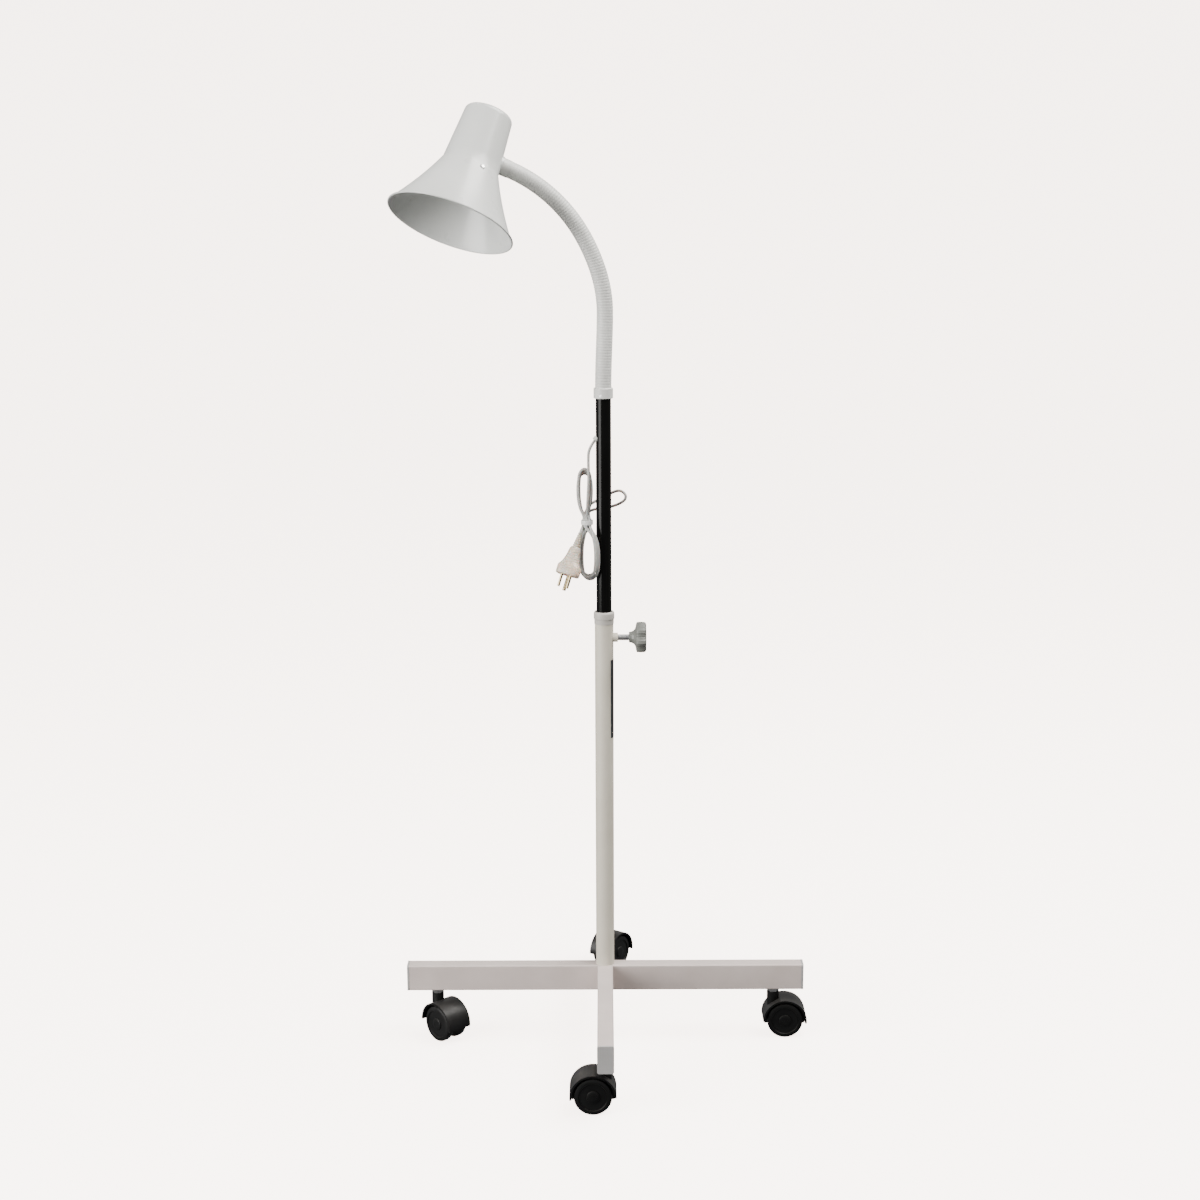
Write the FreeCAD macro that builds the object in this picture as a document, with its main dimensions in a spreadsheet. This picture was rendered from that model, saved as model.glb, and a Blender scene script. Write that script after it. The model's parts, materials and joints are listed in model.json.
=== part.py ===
"""Pharmacy floor lamp: a rolling cross base, a telescoping mast, a gooseneck and a flared shade.

Millimetres. +Z is up, X runs along the long beam of the base and -Y is the front of the lamp.
The origin is on the floor, on the axis of the mast.
"""

import FreeCAD, Part
import math
import os
import re
import Sketcher
from FreeCAD import Placement, Rotation, Vector

DIMENSIONS = {
    # cross base: one beam along X and two arms welded to its sides along Y, all of one box section
    "beam_wide": 21.5,
    "beam_tall": 37.0,
    "beam_wall": 1.5,
    "beam_corner": 2.0,
    "beam_half_span": 276.0,
    "arm_reach": 276.0,
    "cap_flange": 3.0,
    "cap_plug": 18.0,
    "cap_lip": 0.5,
    # casters
    "caster_tall": 70.0,
    "caster_inset": 39.0,
    "caster_trail": 16.5,
    "wheel_dia": 50.0,
    "wheel_thick": 12.0,
    "wheel_gap": 11.0,
    "axle_dia": 8.0,
    "hood_wall": 2.6,
    "hood_wide": 38.0,
    "hood_room": 3.2,
    "hood_web": 9.0,
    "hood_neck_dia": 17.0,
    "hood_neck_low": 25.0,
    "stem_dia": 10.0,
    "stem_into_beam": 22.0,
    "stem_below_beam": 28.0,
    "stem_nut_flats": 14.5,
    "stem_nut_tall": 5.0,
    # lower mast tube
    "lower_dia": 25.4,
    "lower_wall": 1.6,
    "lower_top": 610.5,
    "insert_tall": 26.0,
    "bolt_dia": 10.0,
    "bolt_head_flats": 16.0,
    "bolt_head_tall": 6.5,
    "label_low": 438.0,
    "label_tall": 110.0,
    "label_thick": 0.25,
    "label_wrap": 92.0,
    # guide collar on the mouth of the lower tube
    "collar_dia": 28.2,
    "collar_tall": 17.0,
    "collar_lip": 4.0,
    "collar_skirt": 20.0,
    # clamp screw
    "clamp_height": 578.0,
    "clamp_boss_dia": 12.5,
    "clamp_boss_long": 6.0,
    "clamp_screw_dia": 8.0,
    "clamp_screw_free": 15.0,
    "clamp_pad_thick": 1.6,
    "knob_dia": 42.5,
    "knob_thick": 15.0,
    "knob_lobes": 7.0,
    "knob_lobe_share": 0.075,
    "knob_groove_share": 0.26,
    "knob_turn": 12.0,
    "knob_hub_dia": 15.0,
    "knob_hub_long": 9.0,
    # upper mast tube
    "upper_dia": 20.6,
    "upper_wall": 1.5,
    "upper_low": 315.0,
    "upper_top": 915.0,
    "glide_tall": 24.0,
    "ferrule_dia": 26.0,
    "ferrule_overlap": 11.0,
    "ferrule_tall": 14.0,
    "set_screw_dia": 4.0,
    # mains cord, its tie and its plug
    "cord_dia": 3.8,
    "cord_exit_height": 850.0,
    "cord_exit_turn": 196.0,
    "cord_exit_drop": 50.0,
    "grommet_dia": 8.0,
    "grommet_reach": 2.5,
    "tie_height": 738.0,
    "tie_tall": 6.0,
    "tie_wall": 1.3,
    "hank_waist_dia": 9.4,
    "hank_upper_tall": 70.0,
    "hank_upper_wide": 19.0,
    "hank_lower_tall": 76.0,
    "hank_lower_wide": 31.0,
    "hank_thick": 9.0,
    "plug_long": 40.0,
    "plug_wide": 32.0,
    "plug_corner": 6.0,
    "plug_deep": 22.0,
    "plug_nose": 13.0,
    "relief_long": 20.0,
    "blade_long": 17.0,
    "blade_wide": 6.3,
    "blade_thick": 1.6,
    "blade_pitch": 12.7,
    "ground_pin_dia": 4.8,
    "ground_pin_long": 20.0,
    "ground_pin_drop": 8.5,
    "pins_off_centre": 2.5,
    # gooseneck: a straight rise, then one bend in a vertical plane
    "neck_dia": 22.0,
    "neck_mouth_dia": 8.0,
    "neck_bore": 10.0,
    "neck_ball_dia": 19.0,
    "neck_ball_gap": 5.2,
    "neck_root": 14.0,
    "neck_rise": 99.0,
    "neck_bend_radius": 200.0,
    "neck_bend_angle": 67.0,
    "neck_bend_parts": 3.0,
    "neck_yaw": 10.0,
    "neck_to_shade_axis": 48.0,
    "shade_twist": 18.0,
    # shade, measured along its own axis from the plane of its mouth
    "shade_mouth_dia": 167.0,
    "shade_knee_dia": 75.0,
    "shade_knee_at": 82.0,
    "shade_back_dia": 64.0,
    "shade_long": 159.0,
    "shade_back_round": 7.0,
    "shade_wall": 1.0,
    "shade_hollow": 2.5,
    "rim_roll_dia": 2.6,
    "shade_neck_at": 99.0,
    "nipple_dia": 10.0,
    "nipple_bore": 6.0,
    "nipple_nut_flats": 14.0,
    "nipple_nut_tall": 3.5,
    # lamp holder, its bracket and the lamp
    "bracket_thick": 1.5,
    "bracket_wide": 16.0,
    "bracket_boss": 3.8,
    "band_at": 73.0,
    "band_wide": 9.0,
    "band_half_turn": 84.0,
    "rivet_turn": 76.0,
    "rivet_dia": 4.0,
    "rivet_head_dia": 7.0,
    "rivet_head_tall": 1.4,
    "rivet_grip": 1.2,
    "holder_back_room": 9.0,
    "holder_dia": 39.0,
    "holder_long": 42.0,
    "holder_bore_dia": 29.0,
    "holder_bore_deep": 29.0,
    "bulb_cap_dia": 26.0,
    "bulb_cap_long": 25.0,
    "bulb_dia": 45.0,
    "bulb_neck_dia": 26.6,
    # clearances
    "running_gap": 0.05,
    "slip_gap": 0.1,
    "part_gap": 0.3,
}

doc = FreeCAD.newDocument("PharmacyFloorLamp")
sheet = doc.addObject("Spreadsheet::Sheet", "Dimensions")
for row, (alias, value) in enumerate(DIMENSIONS.items(), start=1):
    sheet.set(f"A{row}", alias)
    sheet.set(f"B{row}", str(value))
    sheet.setAlias(f"B{row}", alias)
doc.recompute()

UP = Vector(0, 0, 1)
SUBPARTS = []


def size(alias):
    """A driving dimension, read from the sheet."""
    return float(getattr(sheet, alias))


def bind(item, **formulas):
    """Bind the properties of a document object to formulas of the sheet's aliases."""
    for prop, formula in formulas.items():
        words = re.sub(r"[a-z][a-z_]*[a-z]", lambda word: f"Dimensions.{word.group()}", formula)
        item.setExpression(prop, words)
    return item


def keep(item, node, placement=None):
    """Register a document object as the sub-part that is written to parts/NODE.step."""
    if placement is not None:
        item.Placement = placement
    item.Label = node
    SUBPARTS.append(item)
    return item


def cylinder(name, radius, height, placement=Placement()):
    item = doc.addObject("Part::Cylinder", name)
    item.Placement = placement
    return bind(item, Radius=radius, Height=height)


def cone(name, radius_low, radius_high, height, placement=Placement()):
    item = doc.addObject("Part::Cone", name)
    item.Placement = placement
    return bind(item, Radius1=radius_low, Radius2=radius_high, Height=height)


def ball(name, radius, placement):
    item = doc.addObject("Part::Sphere", name)
    item.Placement = placement
    return bind(item, Radius=radius)


def hexagon(name, across_flats, height, placement=Placement()):
    item = doc.addObject("Part::Prism", name)
    item.Polygon = 6
    item.Placement = placement
    return bind(item, Circumradius=f"({across_flats}) / 1.7320508", Height=height)


def block(name, long, wide, tall, placement=Placement()):
    item = doc.addObject("Part::Box", name)
    item.Placement = placement
    return bind(item, Length=long, Width=wide, Height=tall)


def cut(name, base, *tools):
    """base without tools."""
    item = doc.addObject("Part::Cut", name)
    item.Base = base
    item.Tool = tools[0] if len(tools) == 1 else fuse(name + "Tools", *tools)
    return item


def fuse(name, *shapes):
    item = doc.addObject("Part::MultiFuse", name)
    item.Shapes = list(shapes)
    return item


def common(name, first, second):
    item = doc.addObject("Part::Common", name)
    item.Base = first
    item.Tool = second
    return item


def solid_feature(name, shape):
    """A sub-part whose shape is worked out here from the sheet's sizes."""
    item = doc.addObject("Part::Feature", name)
    item.Shape = shape
    return item


def facing(direction, across=None):
    """The rotation that turns +Z to direction, and +X as near as possible to across."""
    if across is None:
        return Rotation(UP, direction)
    return Rotation(across, Vector(), direction, "ZXY")


def at(x, y, z, rotation=Rotation()):
    return Placement(Vector(x, y, z), rotation)


def plane_of(body, role):
    return next(item for item in body.Origin.OriginFeatures if item.Role == role)


def sketch_on(body, role, outline):
    """A sketch of a closed outline on one of the body's own origin planes."""
    sketch = body.newObject("Sketcher::SketchObject", body.Name + "Sketch")
    sketch.AttachmentSupport = (plane_of(body, role), [""])
    sketch.MapMode = "FlatFace"
    sketch.addGeometry(outline, False)
    return sketch


def path(*steps):
    """The edges through the points of steps; a pair of points is an arc through the first to the second."""
    edges = []
    here = Vector(*steps[0], 0)
    for step in steps[1:]:
        if isinstance(step[0], tuple):
            through, end = (Vector(*point, 0) for point in step)
            edges.append(Part.Arc(here, through, end))
        else:
            end = Vector(*step, 0)
            edges.append(Part.LineSegment(here, end))
        here = end
    return edges


def turned_body(name, outside, inside=None):
    """A body turned about Z from an outline of (radius, height) points, hollowed by a second outline."""
    body = doc.addObject("PartDesign::Body", name)
    turn = body.newObject("PartDesign::Revolution", name + "Turn")
    turn.Profile = sketch_on(body, "XZ_Plane", outside)
    turn.ReferenceAxis = (turn.Profile[0], ["V_Axis"])
    turn.Angle = 360
    doc.recompute()
    if inside:
        groove = body.newObject("PartDesign::Groove", name + "Hollow")
        groove.Profile = sketch_on(body, "XZ_Plane", inside)
        groove.ReferenceAxis = (groove.Profile[0], ["V_Axis"])
        groove.Angle = 360
        solid_volume = turn.Shape.Volume
        doc.recompute()
        assert groove.Shape.Volume < solid_volume, name + " was not hollowed"
    return body


def padded_body(name, role, outline, length, both_ways=False):
    """A body padded from an outline on one of its origin planes."""
    body = doc.addObject("PartDesign::Body", name)
    pad = body.newObject("PartDesign::Pad", name + "Pad")
    pad.Profile = sketch_on(body, role, outline)
    pad.Midplane = both_ways
    bind(pad, Length=length)
    doc.recompute()
    return body


def rounded_box_outline(wide, tall, corner):
    """A rectangle about the origin with round corners."""
    x = wide / 2
    y = tall / 2
    k = corner * (1 - math.sqrt(0.5))
    return path(
        (x, corner - y),
        (x, y - corner),
        ((x - k, y - k), (x - corner, y)),
        (corner - x, y),
        ((k - x, y - k), (-x, y - corner)),
        (-x, corner - y),
        ((k - x, k - y), (corner - x, -y)),
        (x - corner, -y),
        ((x - k, k - y), (x, corner - y)),
    )


# ---- cross base ----

def box_section(name, role, length, placement, both_ways=False):
    """A length of the base's rectangular tube."""
    wide = size("beam_wide")
    tall = size("beam_tall")
    wall = size("beam_wall")
    corner = size("beam_corner")
    outline = rounded_box_outline(wide, tall, corner)
    outline += rounded_box_outline(wide - 2 * wall, tall - 2 * wall, corner - wall)
    body = padded_body(name, role, outline, length, both_ways)
    body.Placement = placement
    return body


def base_frame():
    middle = size("caster_tall") + size("beam_tall") / 2
    along_x = Rotation(Vector(0, 1, 0), UP, Vector(1, 0, 0), "ZXY")
    beam = box_section("BeamTube", "XY_Plane", "2 * beam_half_span", at(0, 0, middle, along_x), True)
    stem_at = size("beam_half_span") - size("caster_inset")
    bolt_hole = cylinder("BoltHole", "bolt_dia / 2 + running_gap", "beam_tall / 2", at(0, 0, middle))
    bolt_access = cylinder("BoltAccess", "bolt_dia - 1", "beam_tall / 2", at(0, 0, size("caster_tall") - 1))
    stem_holes = [stem_hole("BeamStemHole" + tag, x, 0) for tag, x in (("A", -stem_at), ("B", stem_at))]
    keep(cut("BaseBeam", beam, bolt_hole, bolt_access, *stem_holes), "base_beam")
    for side, node in ((-1, "base_arm_front"), (1, "base_arm_rear")):
        turn = Rotation(Vector(-side, 0, 0), UP, Vector(0, side, 0), "ZXY")
        place = at(0, side * size("beam_wide") / 2, middle, turn)
        name = node.title().replace("_", "")
        arm = box_section(name + "Tube", "XY_Plane", "arm_reach - beam_wide / 2", place)
        hole = stem_hole(name + "StemHole", 0, side * (size("arm_reach") - size("caster_inset")))
        keep(cut(name, arm, hole), node)


def stem_hole(name, x, y):
    """The hole for a caster's stem in the lower wall of the base."""
    return cylinder(name, "stem_dia / 2", "beam_tall / 2", at(x, y, size("caster_tall") - 1))


def end_cap(node, reach, direction):
    """A plastic plug with a flange that closes one end of the base."""
    wall = size("beam_wall")
    lip = size("cap_lip")
    wide = size("beam_wide")
    tall = size("beam_tall")
    slip = size("slip_gap")
    name = node.title().replace("_", "")
    flange = padded_body(
        name + "Flange",
        "XY_Plane",
        rounded_box_outline(wide + lip, tall + lip, size("beam_corner") + lip),
        "cap_flange",
    )
    inner = rounded_box_outline(
        wide - 2 * wall - 2 * slip, tall - 2 * wall - 2 * slip, size("beam_corner") - wall
    )
    plug = padded_body(name + "Plug", "XY_Plane", inner, "cap_plug")
    plug.Placement = at(0, 0, -size("cap_plug"))
    middle = size("caster_tall") + size("beam_tall") / 2
    turn = Rotation(direction.cross(UP) * -1, UP, direction, "ZXY")
    place = Placement(direction * reach + UP * middle, turn)
    keep(fuse(name, flange, plug), node, place)


# ---- casters ----

def stem(node, x, y):
    """A threaded stem screwed up into the base, with its zinc nut and swivel collar."""
    name = node.title().replace("_", "")
    top = size("caster_tall")
    low = top - size("stem_nut_tall")
    rod = cylinder(name + "Rod", "stem_dia / 2", "stem_into_beam + stem_below_beam")
    rod.Placement = at(x, y, top - size("stem_below_beam"))
    nut = hexagon(name + "Nut", "stem_nut_flats", "stem_nut_tall", at(x, y, low))
    keep(fuse(name, rod, nut), node)


def hood_outline():
    """The side view of a hood about its axle: a crown that ends in two pointed lips."""
    inner = size("wheel_dia") / 2 + size("hood_room")
    outer = inner + size("hood_wall")
    low = math.radians(-6)
    tip = Vector(math.cos(low), math.sin(low), 0)
    return path(
        (outer * tip.x, outer * tip.y),
        ((0, outer), (-outer, 0)),
        (-inner, 0),
        ((0, inner), (inner * tip.x, inner * tip.y)),
        (outer * tip.x, outer * tip.y),
    )


def caster(tag, x, y, heading):
    """A hooded twin-wheel caster whose axle trails its stem towards heading, in degrees from +X."""
    name = "Caster" + tag.title()
    place = at(x, y, 0, Rotation(UP, heading))
    stem("caster_stem_" + tag, x, y)

    trail = size("caster_trail")
    axle = size("wheel_dia") / 2
    on_axle = Rotation(Vector(1, 0, 0), Vector(0, 0, 1), Vector(0, -1, 0), "ZXY")
    crown = padded_body(name + "Crown", "XY_Plane", hood_outline(), "hood_wide", True)
    crown.Placement = at(trail, 0, axle, on_axle)
    web_disc = cylinder(name + "WebDisc", "wheel_dia / 2 + hood_room + 1", "hood_web")
    web_disc.Placement = at(trail, size("hood_web") / 2, axle, on_axle)
    web_box = block(name + "WebBox", "2 * (wheel_dia / 2 + hood_room + 1)", "hood_web", "wheel_dia")
    web_box.Placement = at(trail - axle - size("hood_room") - 1, -size("hood_web") / 2, axle - 8)
    web = common(name + "Web", web_disc, web_box)
    neck_tall = "caster_tall - stem_nut_tall - part_gap - hood_neck_low"
    neck = cylinder(name + "Neck", "hood_neck_dia / 2", neck_tall)
    neck.Placement = at(0, 0, size("hood_neck_low"))
    wheel_sweep = cylinder(name + "WheelSweep", "wheel_dia / 2 + hood_room - 1", "hood_wide")
    wheel_sweep.Placement = at(trail, size("hood_wide") / 2, axle, on_axle)
    web_keep = block(name + "WebKeep", "wheel_dia", "hood_web", "wheel_dia")
    web_keep.Placement = at(-size("wheel_dia") / 2, -size("hood_web") / 2, 0)
    sides = cut(name + "NeckSides", neck, wheel_sweep)
    middle = common(name + "NeckMiddle", neck, web_keep)
    axle_long = "2 * wheel_thick + wheel_gap"
    axle_half = (2 * size("wheel_thick") + size("wheel_gap")) / 2
    pin = cylinder(name + "Pin", "axle_dia / 2", axle_long, at(trail, axle_half, axle, on_axle))
    socket_low = size("caster_tall") - size("stem_below_beam") - size("part_gap")
    socket = cylinder(name + "Socket", "stem_dia / 2 + running_gap", "caster_tall", at(0, 0, socket_low))
    hood = cut(name + "Hood", fuse(name + "Solid", crown, web, sides, middle, pin), socket)
    keep(hood, "caster_hood_" + tag, place)

    for side, letter in ((-1, "a"), (1, "b")):
        inner_face = side * size("wheel_gap") / 2
        start = inner_face if side > 0 else inner_face - size("wheel_thick")
        seat = at(trail, start + size("wheel_thick"), axle, on_axle)
        tyre = cylinder(name + "Tyre" + letter, "wheel_dia / 2", "wheel_thick", seat)
        bore = cylinder(name + "Bore" + letter, "axle_dia / 2 + running_gap", "wheel_thick", seat)
        keep(cut(name + "Wheel" + letter, tyre, bore), f"caster_wheel_{tag}_{letter}", place)


# ---- lower mast ----

def lower_mast():
    base_top = size("caster_tall") + size("beam_tall")
    tall = "lower_top - caster_tall - beam_tall"
    outer = cylinder("LowerOuter", "lower_dia / 2", tall, at(0, 0, base_top))
    bore = cylinder("LowerBore", "lower_dia / 2 - lower_wall", tall, at(0, 0, base_top))
    along_x = facing(Vector(1, 0, 0))
    height = size("clamp_height")
    hole = cylinder("LowerHole", "clamp_screw_dia / 2 + running_gap", "lower_dia", at(0, 0, height, along_x))
    keep(cut("MastTubeLower", outer, bore, hole), "mast_tube_lower")

    plug = cylinder("InsertPlug", "lower_dia / 2 - lower_wall - slip_gap", "insert_tall", at(0, 0, base_top))
    plug_hole = cylinder("InsertHole", "bolt_dia / 2 + running_gap", "insert_tall", at(0, 0, base_top))
    keep(cut("FootInsert", plug, plug_hole), "foot_insert")

    bolt_low = base_top - size("beam_wall") - size("bolt_head_tall")
    shank_long = "beam_wall + insert_tall - 4"
    head = hexagon("BoltHead", "bolt_head_flats", "bolt_head_tall", at(0, 0, bolt_low))
    shank = cylinder("BoltShank", "bolt_dia / 2", shank_long, at(0, 0, bolt_low + size("bolt_head_tall")))
    keep(fuse("FootBolt", head, shank), "foot_bolt")

    sheet_outer = cylinder("LabelOuter", "lower_dia / 2 + label_thick + 0.02", "label_tall")
    sheet_inner = cylinder("LabelInner", "lower_dia / 2 + 0.02", "label_tall")
    sheet_outer.Placement = at(0, 0, size("label_low"), Rotation(UP, -size("label_wrap") / 2))
    sheet_inner.Placement = sheet_outer.Placement
    bind(sheet_outer, Angle="label_wrap")
    keep(cut("SideLabel", sheet_outer, sheet_inner), "side_label")


def guide_collar():
    """A plastic collar over the mouth of the lower tube, with a sleeve down inside it."""
    top = size("lower_top") + size("collar_lip")
    low = top - size("collar_tall")
    slip = size("slip_gap")
    outer = size("collar_dia") / 2
    tube = size("lower_dia") / 2 + slip
    tube_bore = size("lower_dia") / 2 - size("lower_wall") - slip
    guide = size("upper_dia") / 2 + size("running_gap")
    seat = size("lower_top") + slip
    skirt = top - size("collar_skirt")
    outline = path(
        (guide, skirt),
        (tube_bore, skirt),
        (tube_bore, seat),
        (tube, seat),
        (tube, low),
        (outer, low),
        (outer, top - 1.2),
        (outer - 1.2, top),
        (guide, top),
        (guide, skirt),
    )
    keep(turned_body("GuideCollar", outline), "guide_collar")


def clamp():
    """A welded boss, and a screw with a lobed knob that presses a pad on the upper tube."""
    height = size("clamp_height")
    along_x = Rotation(Vector(0, 1, 0), UP, Vector(1, 0, 0), "ZXY")
    wall_out = size("lower_dia") / 2
    boss_low = wall_out - size("clamp_boss_dia") / 8
    axis = at(0, 0, height, along_x)
    boss = cylinder("BossSolid", "clamp_boss_dia / 2", "clamp_boss_long + clamp_boss_dia / 8")
    boss.Placement = at(boss_low, 0, height, along_x)
    bore = cylinder("BossBore", "clamp_screw_dia / 2 + running_gap", "clamp_boss_dia * 2", axis)
    tube = cylinder("BossTube", "lower_dia / 2", "2 * clamp_boss_dia")
    tube.Placement = at(0, 0, height - size("clamp_boss_dia"))
    keep(cut("ClampBoss", boss, bore, tube), "clamp_boss")

    pad_at = size("upper_dia") / 2 + size("slip_gap")
    pad = cylinder("ClampPad", "clamp_screw_dia / 2", "clamp_pad_thick", at(pad_at, 0, height, along_x))
    keep(pad, "clamp_pad")

    screw_at = pad_at + size("clamp_pad_thick")
    knob_at = wall_out + size("clamp_boss_long") + size("clamp_screw_free")
    screw = cylinder("ClampScrew", "clamp_screw_dia / 2", "1", at(screw_at, 0, height, along_x))
    free = "lower_dia / 2 + clamp_boss_long + clamp_screw_free + knob_hub_long"
    bind(screw, Height=f"{free} - upper_dia / 2 - slip_gap - clamp_pad_thick")
    keep(screw, "clamp_screw")

    rim = size("knob_dia") / 2
    hub = size("knob_hub_dia") / 2
    hub_end = size("knob_hub_long")
    back = hub_end + size("knob_thick")
    outline = path(
        (0, 0),
        (hub * 0.8, 0),
        (hub, hub_end * 0.2),
        ((rim * 0.5, hub_end * 0.62), (rim * 0.88, hub_end)),
        ((rim, back - size("knob_thick") * 0.8), (rim * 0.93, back - size("knob_thick") * 0.5)),
        ((rim * 0.55, back - 1.6), (0, back)),
        (0, 0),
    )
    knob = turned_body("KnobTurned", outline)
    grooves = []
    groove_long = "knob_hub_long + knob_thick + 2"
    for lobe in range(int(size("knob_lobes"))):
        turn = Rotation(UP, 360 * lobe / size("knob_lobes") + size("knob_turn"))
        out = 1 + size("knob_groove_share") - 2 * size("knob_lobe_share")
        centre = turn.multVec(Vector(rim * out, 0, -1))
        groove = cylinder(f"KnobGroove{lobe}", "knob_dia * knob_groove_share / 2", groove_long)
        groove.Placement = at(*centre)
        grooves.append(groove)
    socket = cylinder("KnobSocket", "clamp_screw_dia / 2", "knob_hub_long", at(0, 0, 0))
    keep(cut("ClampKnob", knob, socket, *grooves), "clamp_knob", at(knob_at, 0, height, along_x))


# ---- upper mast ----

def cord_exit():
    """Where the cord leaves the upper tube's surface, and the way that it points: out and steeply down."""
    turn = math.radians(size("cord_exit_turn"))
    drop = math.radians(size("cord_exit_drop"))
    out = Vector(math.cos(turn), math.sin(turn), 0)
    surface = out * (size("upper_dia") / 2) + UP * size("cord_exit_height")
    return surface, out * math.cos(drop) - UP * math.sin(drop)


def ferrule_foot():
    """The height of the lower edge of the ferrule, which comes down over the top of the upper tube."""
    return size("upper_top") - size("ferrule_overlap")


def upper_mast():
    low = size("upper_low")
    tube_long = "upper_top - upper_low"
    outer = cylinder("UpperOuter", "upper_dia / 2", tube_long, at(0, 0, low))
    bore = cylinder("UpperBore", "upper_dia / 2 - upper_wall", tube_long, at(0, 0, low))
    exit_point, out = cord_exit()
    hole = cylinder("UpperHole", "cord_dia / 2 + slip_gap", "grommet_dia")
    hole.Placement = Placement(exit_point - out * size("grommet_dia") / 2, facing(out))
    keep(cut("MastTubeUpper", outer, bore, hole), "mast_tube_upper")

    bush = cylinder("GlideOuter", "lower_dia / 2 - lower_wall - running_gap", "glide_tall", at(0, 0, low + 2))
    bush_bore = cylinder("GlideBore", "upper_dia / 2 + running_gap", "glide_tall", at(0, 0, low + 2))
    keep(cut("GlideBush", bush, bush_bore), "glide_bush")

    mouth = size("grommet_reach")
    ring = cylinder("GrommetRing", "grommet_dia / 2", "2 * grommet_reach")
    ring.Placement = Placement(exit_point - out * mouth, facing(out))
    tunnel = cylinder("GrommetTunnel", "cord_dia / 2 + slip_gap", "3 * grommet_reach")
    tunnel.Placement = Placement(exit_point - out * 2 * mouth, facing(out))
    around = cylinder("GrommetTube", "upper_dia / 2", "grommet_dia * 2")
    around.Placement = at(0, 0, size("cord_exit_height") - size("grommet_dia"))
    keep(cut("CordGrommet", ring, tunnel, around), "cord_grommet")

    seat = size("upper_top")
    ferrule_low = ferrule_foot()
    top = ferrule_low + size("ferrule_tall")
    radius = size("ferrule_dia") / 2
    slip = size("slip_gap")
    outline = path(
        (size("upper_dia") / 2 + slip, ferrule_low),
        (radius - 0.6, ferrule_low),
        (radius, ferrule_low + 0.6),
        (radius, top - 1),
        (radius - 1, top),
        (size("neck_bore") / 2, top),
        (size("neck_bore") / 2, seat + slip),
        (size("upper_dia") / 2 + slip, seat + slip),
        (size("upper_dia") / 2 + slip, ferrule_low),
    )
    ferrule = turned_body("FerruleTurned", outline)
    front = Vector(-0.34, -1, 0).normalize()
    screw_height = ferrule_low + size("ferrule_tall") * 0.3
    screw_start = front * (size("upper_dia") / 2 + slip) + UP * screw_height
    screw_hole = cylinder("SetScrewHole", "set_screw_dia / 2 + running_gap", "ferrule_dia")
    screw_hole.Placement = Placement(screw_start, facing(front))
    keep(cut("NeckFerrule", ferrule, screw_hole), "neck_ferrule")
    screw = cylinder("SetScrew", "set_screw_dia / 2", "(ferrule_dia - upper_dia) / 2 - slip_gap - 0.4")
    keep(screw, "ferrule_set_screw", Placement(screw_start, facing(front)))


# ---- mains cord ----

# the cord's route in free air, and the places of the wound cord's lobes, its tie and the plug
CORD_LEAD = [
    (-19.7, -5.7, 837.7),
    (-20.4, -6.6, 821.0),
    (-19.8, -8.2, 802.0),
    (-20.6, -9.0, 783.0),
    (-21.6, -8.2, 765.0),
    (-22.4, -5.0, 750.0),
]
CORD_BACK_LOOP = [
    (-21.0, -0.5, 751.5),
    (-13.0, 13.0, 752.5),
    (-1.0, 18.5, 753.5),
    (11.5, 17.8, 755.5),
    (22.0, 14.8, 760.0),
    (29.5, 12.2, 765.5),
    (30.0, 12.4, 773.0),
    (22.0, 15.2, 778.5),
    (11.0, 18.4, 774.5),
    (-1.5, 19.6, 767.5),
    (-13.5, 14.6, 762.0),
    (-20.5, 0.5, 760.0),
]


HANK_UPPER_AT = (-25.5, -1.5)
HANK_LOWER_AT = (-20.5, -13.5)
HANK_LOWER_TURN = -21.5
HANK_TIE_AT = (-22.5, -5.5)
PLUG_AT = (-37.4, -20.8, 707.0)
PLUG_WAY = (-0.30, -0.30, -0.905)
PLUG_ACROSS = (0.95, -0.31, 0.0)


def cord_tube(name, points):
    """A round cord along straight runs that are joined by tangent arcs."""
    points = [Vector(*point) for point in points]
    radii = []
    edges = []
    here = points[0]
    for before, corner, after in zip(points, points[1:], points[2:]):
        back = (before - corner).normalize()
        ahead = (after - corner).normalize()
        half_turn = (math.pi - back.getAngle(ahead)) / 2
        shorter = min((corner - before).Length, (after - corner).Length)
        radius = 0.45 * shorter / math.tan(half_turn)
        start = corner + back * (0.45 * shorter)
        end = corner + ahead * (0.45 * shorter)
        inward = (back + ahead).normalize()
        middle = corner + inward * (radius / math.cos(half_turn) - radius)
        edges.append(Part.LineSegment(here, start).toShape())
        edges.append(Part.Arc(start, middle, end).toShape())
        radii.append(radius)
        here = end
    edges.append(Part.LineSegment(here, points[-1]).toShape())
    route = Part.Wire(edges)
    first = (points[1] - points[0]).normalize()
    ring = Part.Wire([Part.Circle(points[0], first, size("cord_dia") / 2).toShape()])
    tube = route.makePipeShell([ring], True, False)
    expected = math.pi * size("cord_dia") ** 2 / 4 * route.Length
    assert abs(tube.Volume / expected - 1) < 0.02, name + " has the wrong volume"
    print(name, "is", round(route.Length, 1), "long, radii", [round(radius, 1) for radius in radii])
    return solid_feature(name, tube)


def lobe(name, tall, wide, placement):
    """A flat lens of wound cord whose two sides are arcs between its lower and its upper point."""
    sides = path((0, 0), ((wide / 2, tall / 2), (0, tall)), ((-wide / 2, tall / 2), (0, 0)))
    body = padded_body(name, "XZ_Plane", sides, "hank_thick", True)
    body.Placement = placement
    return body


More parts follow.
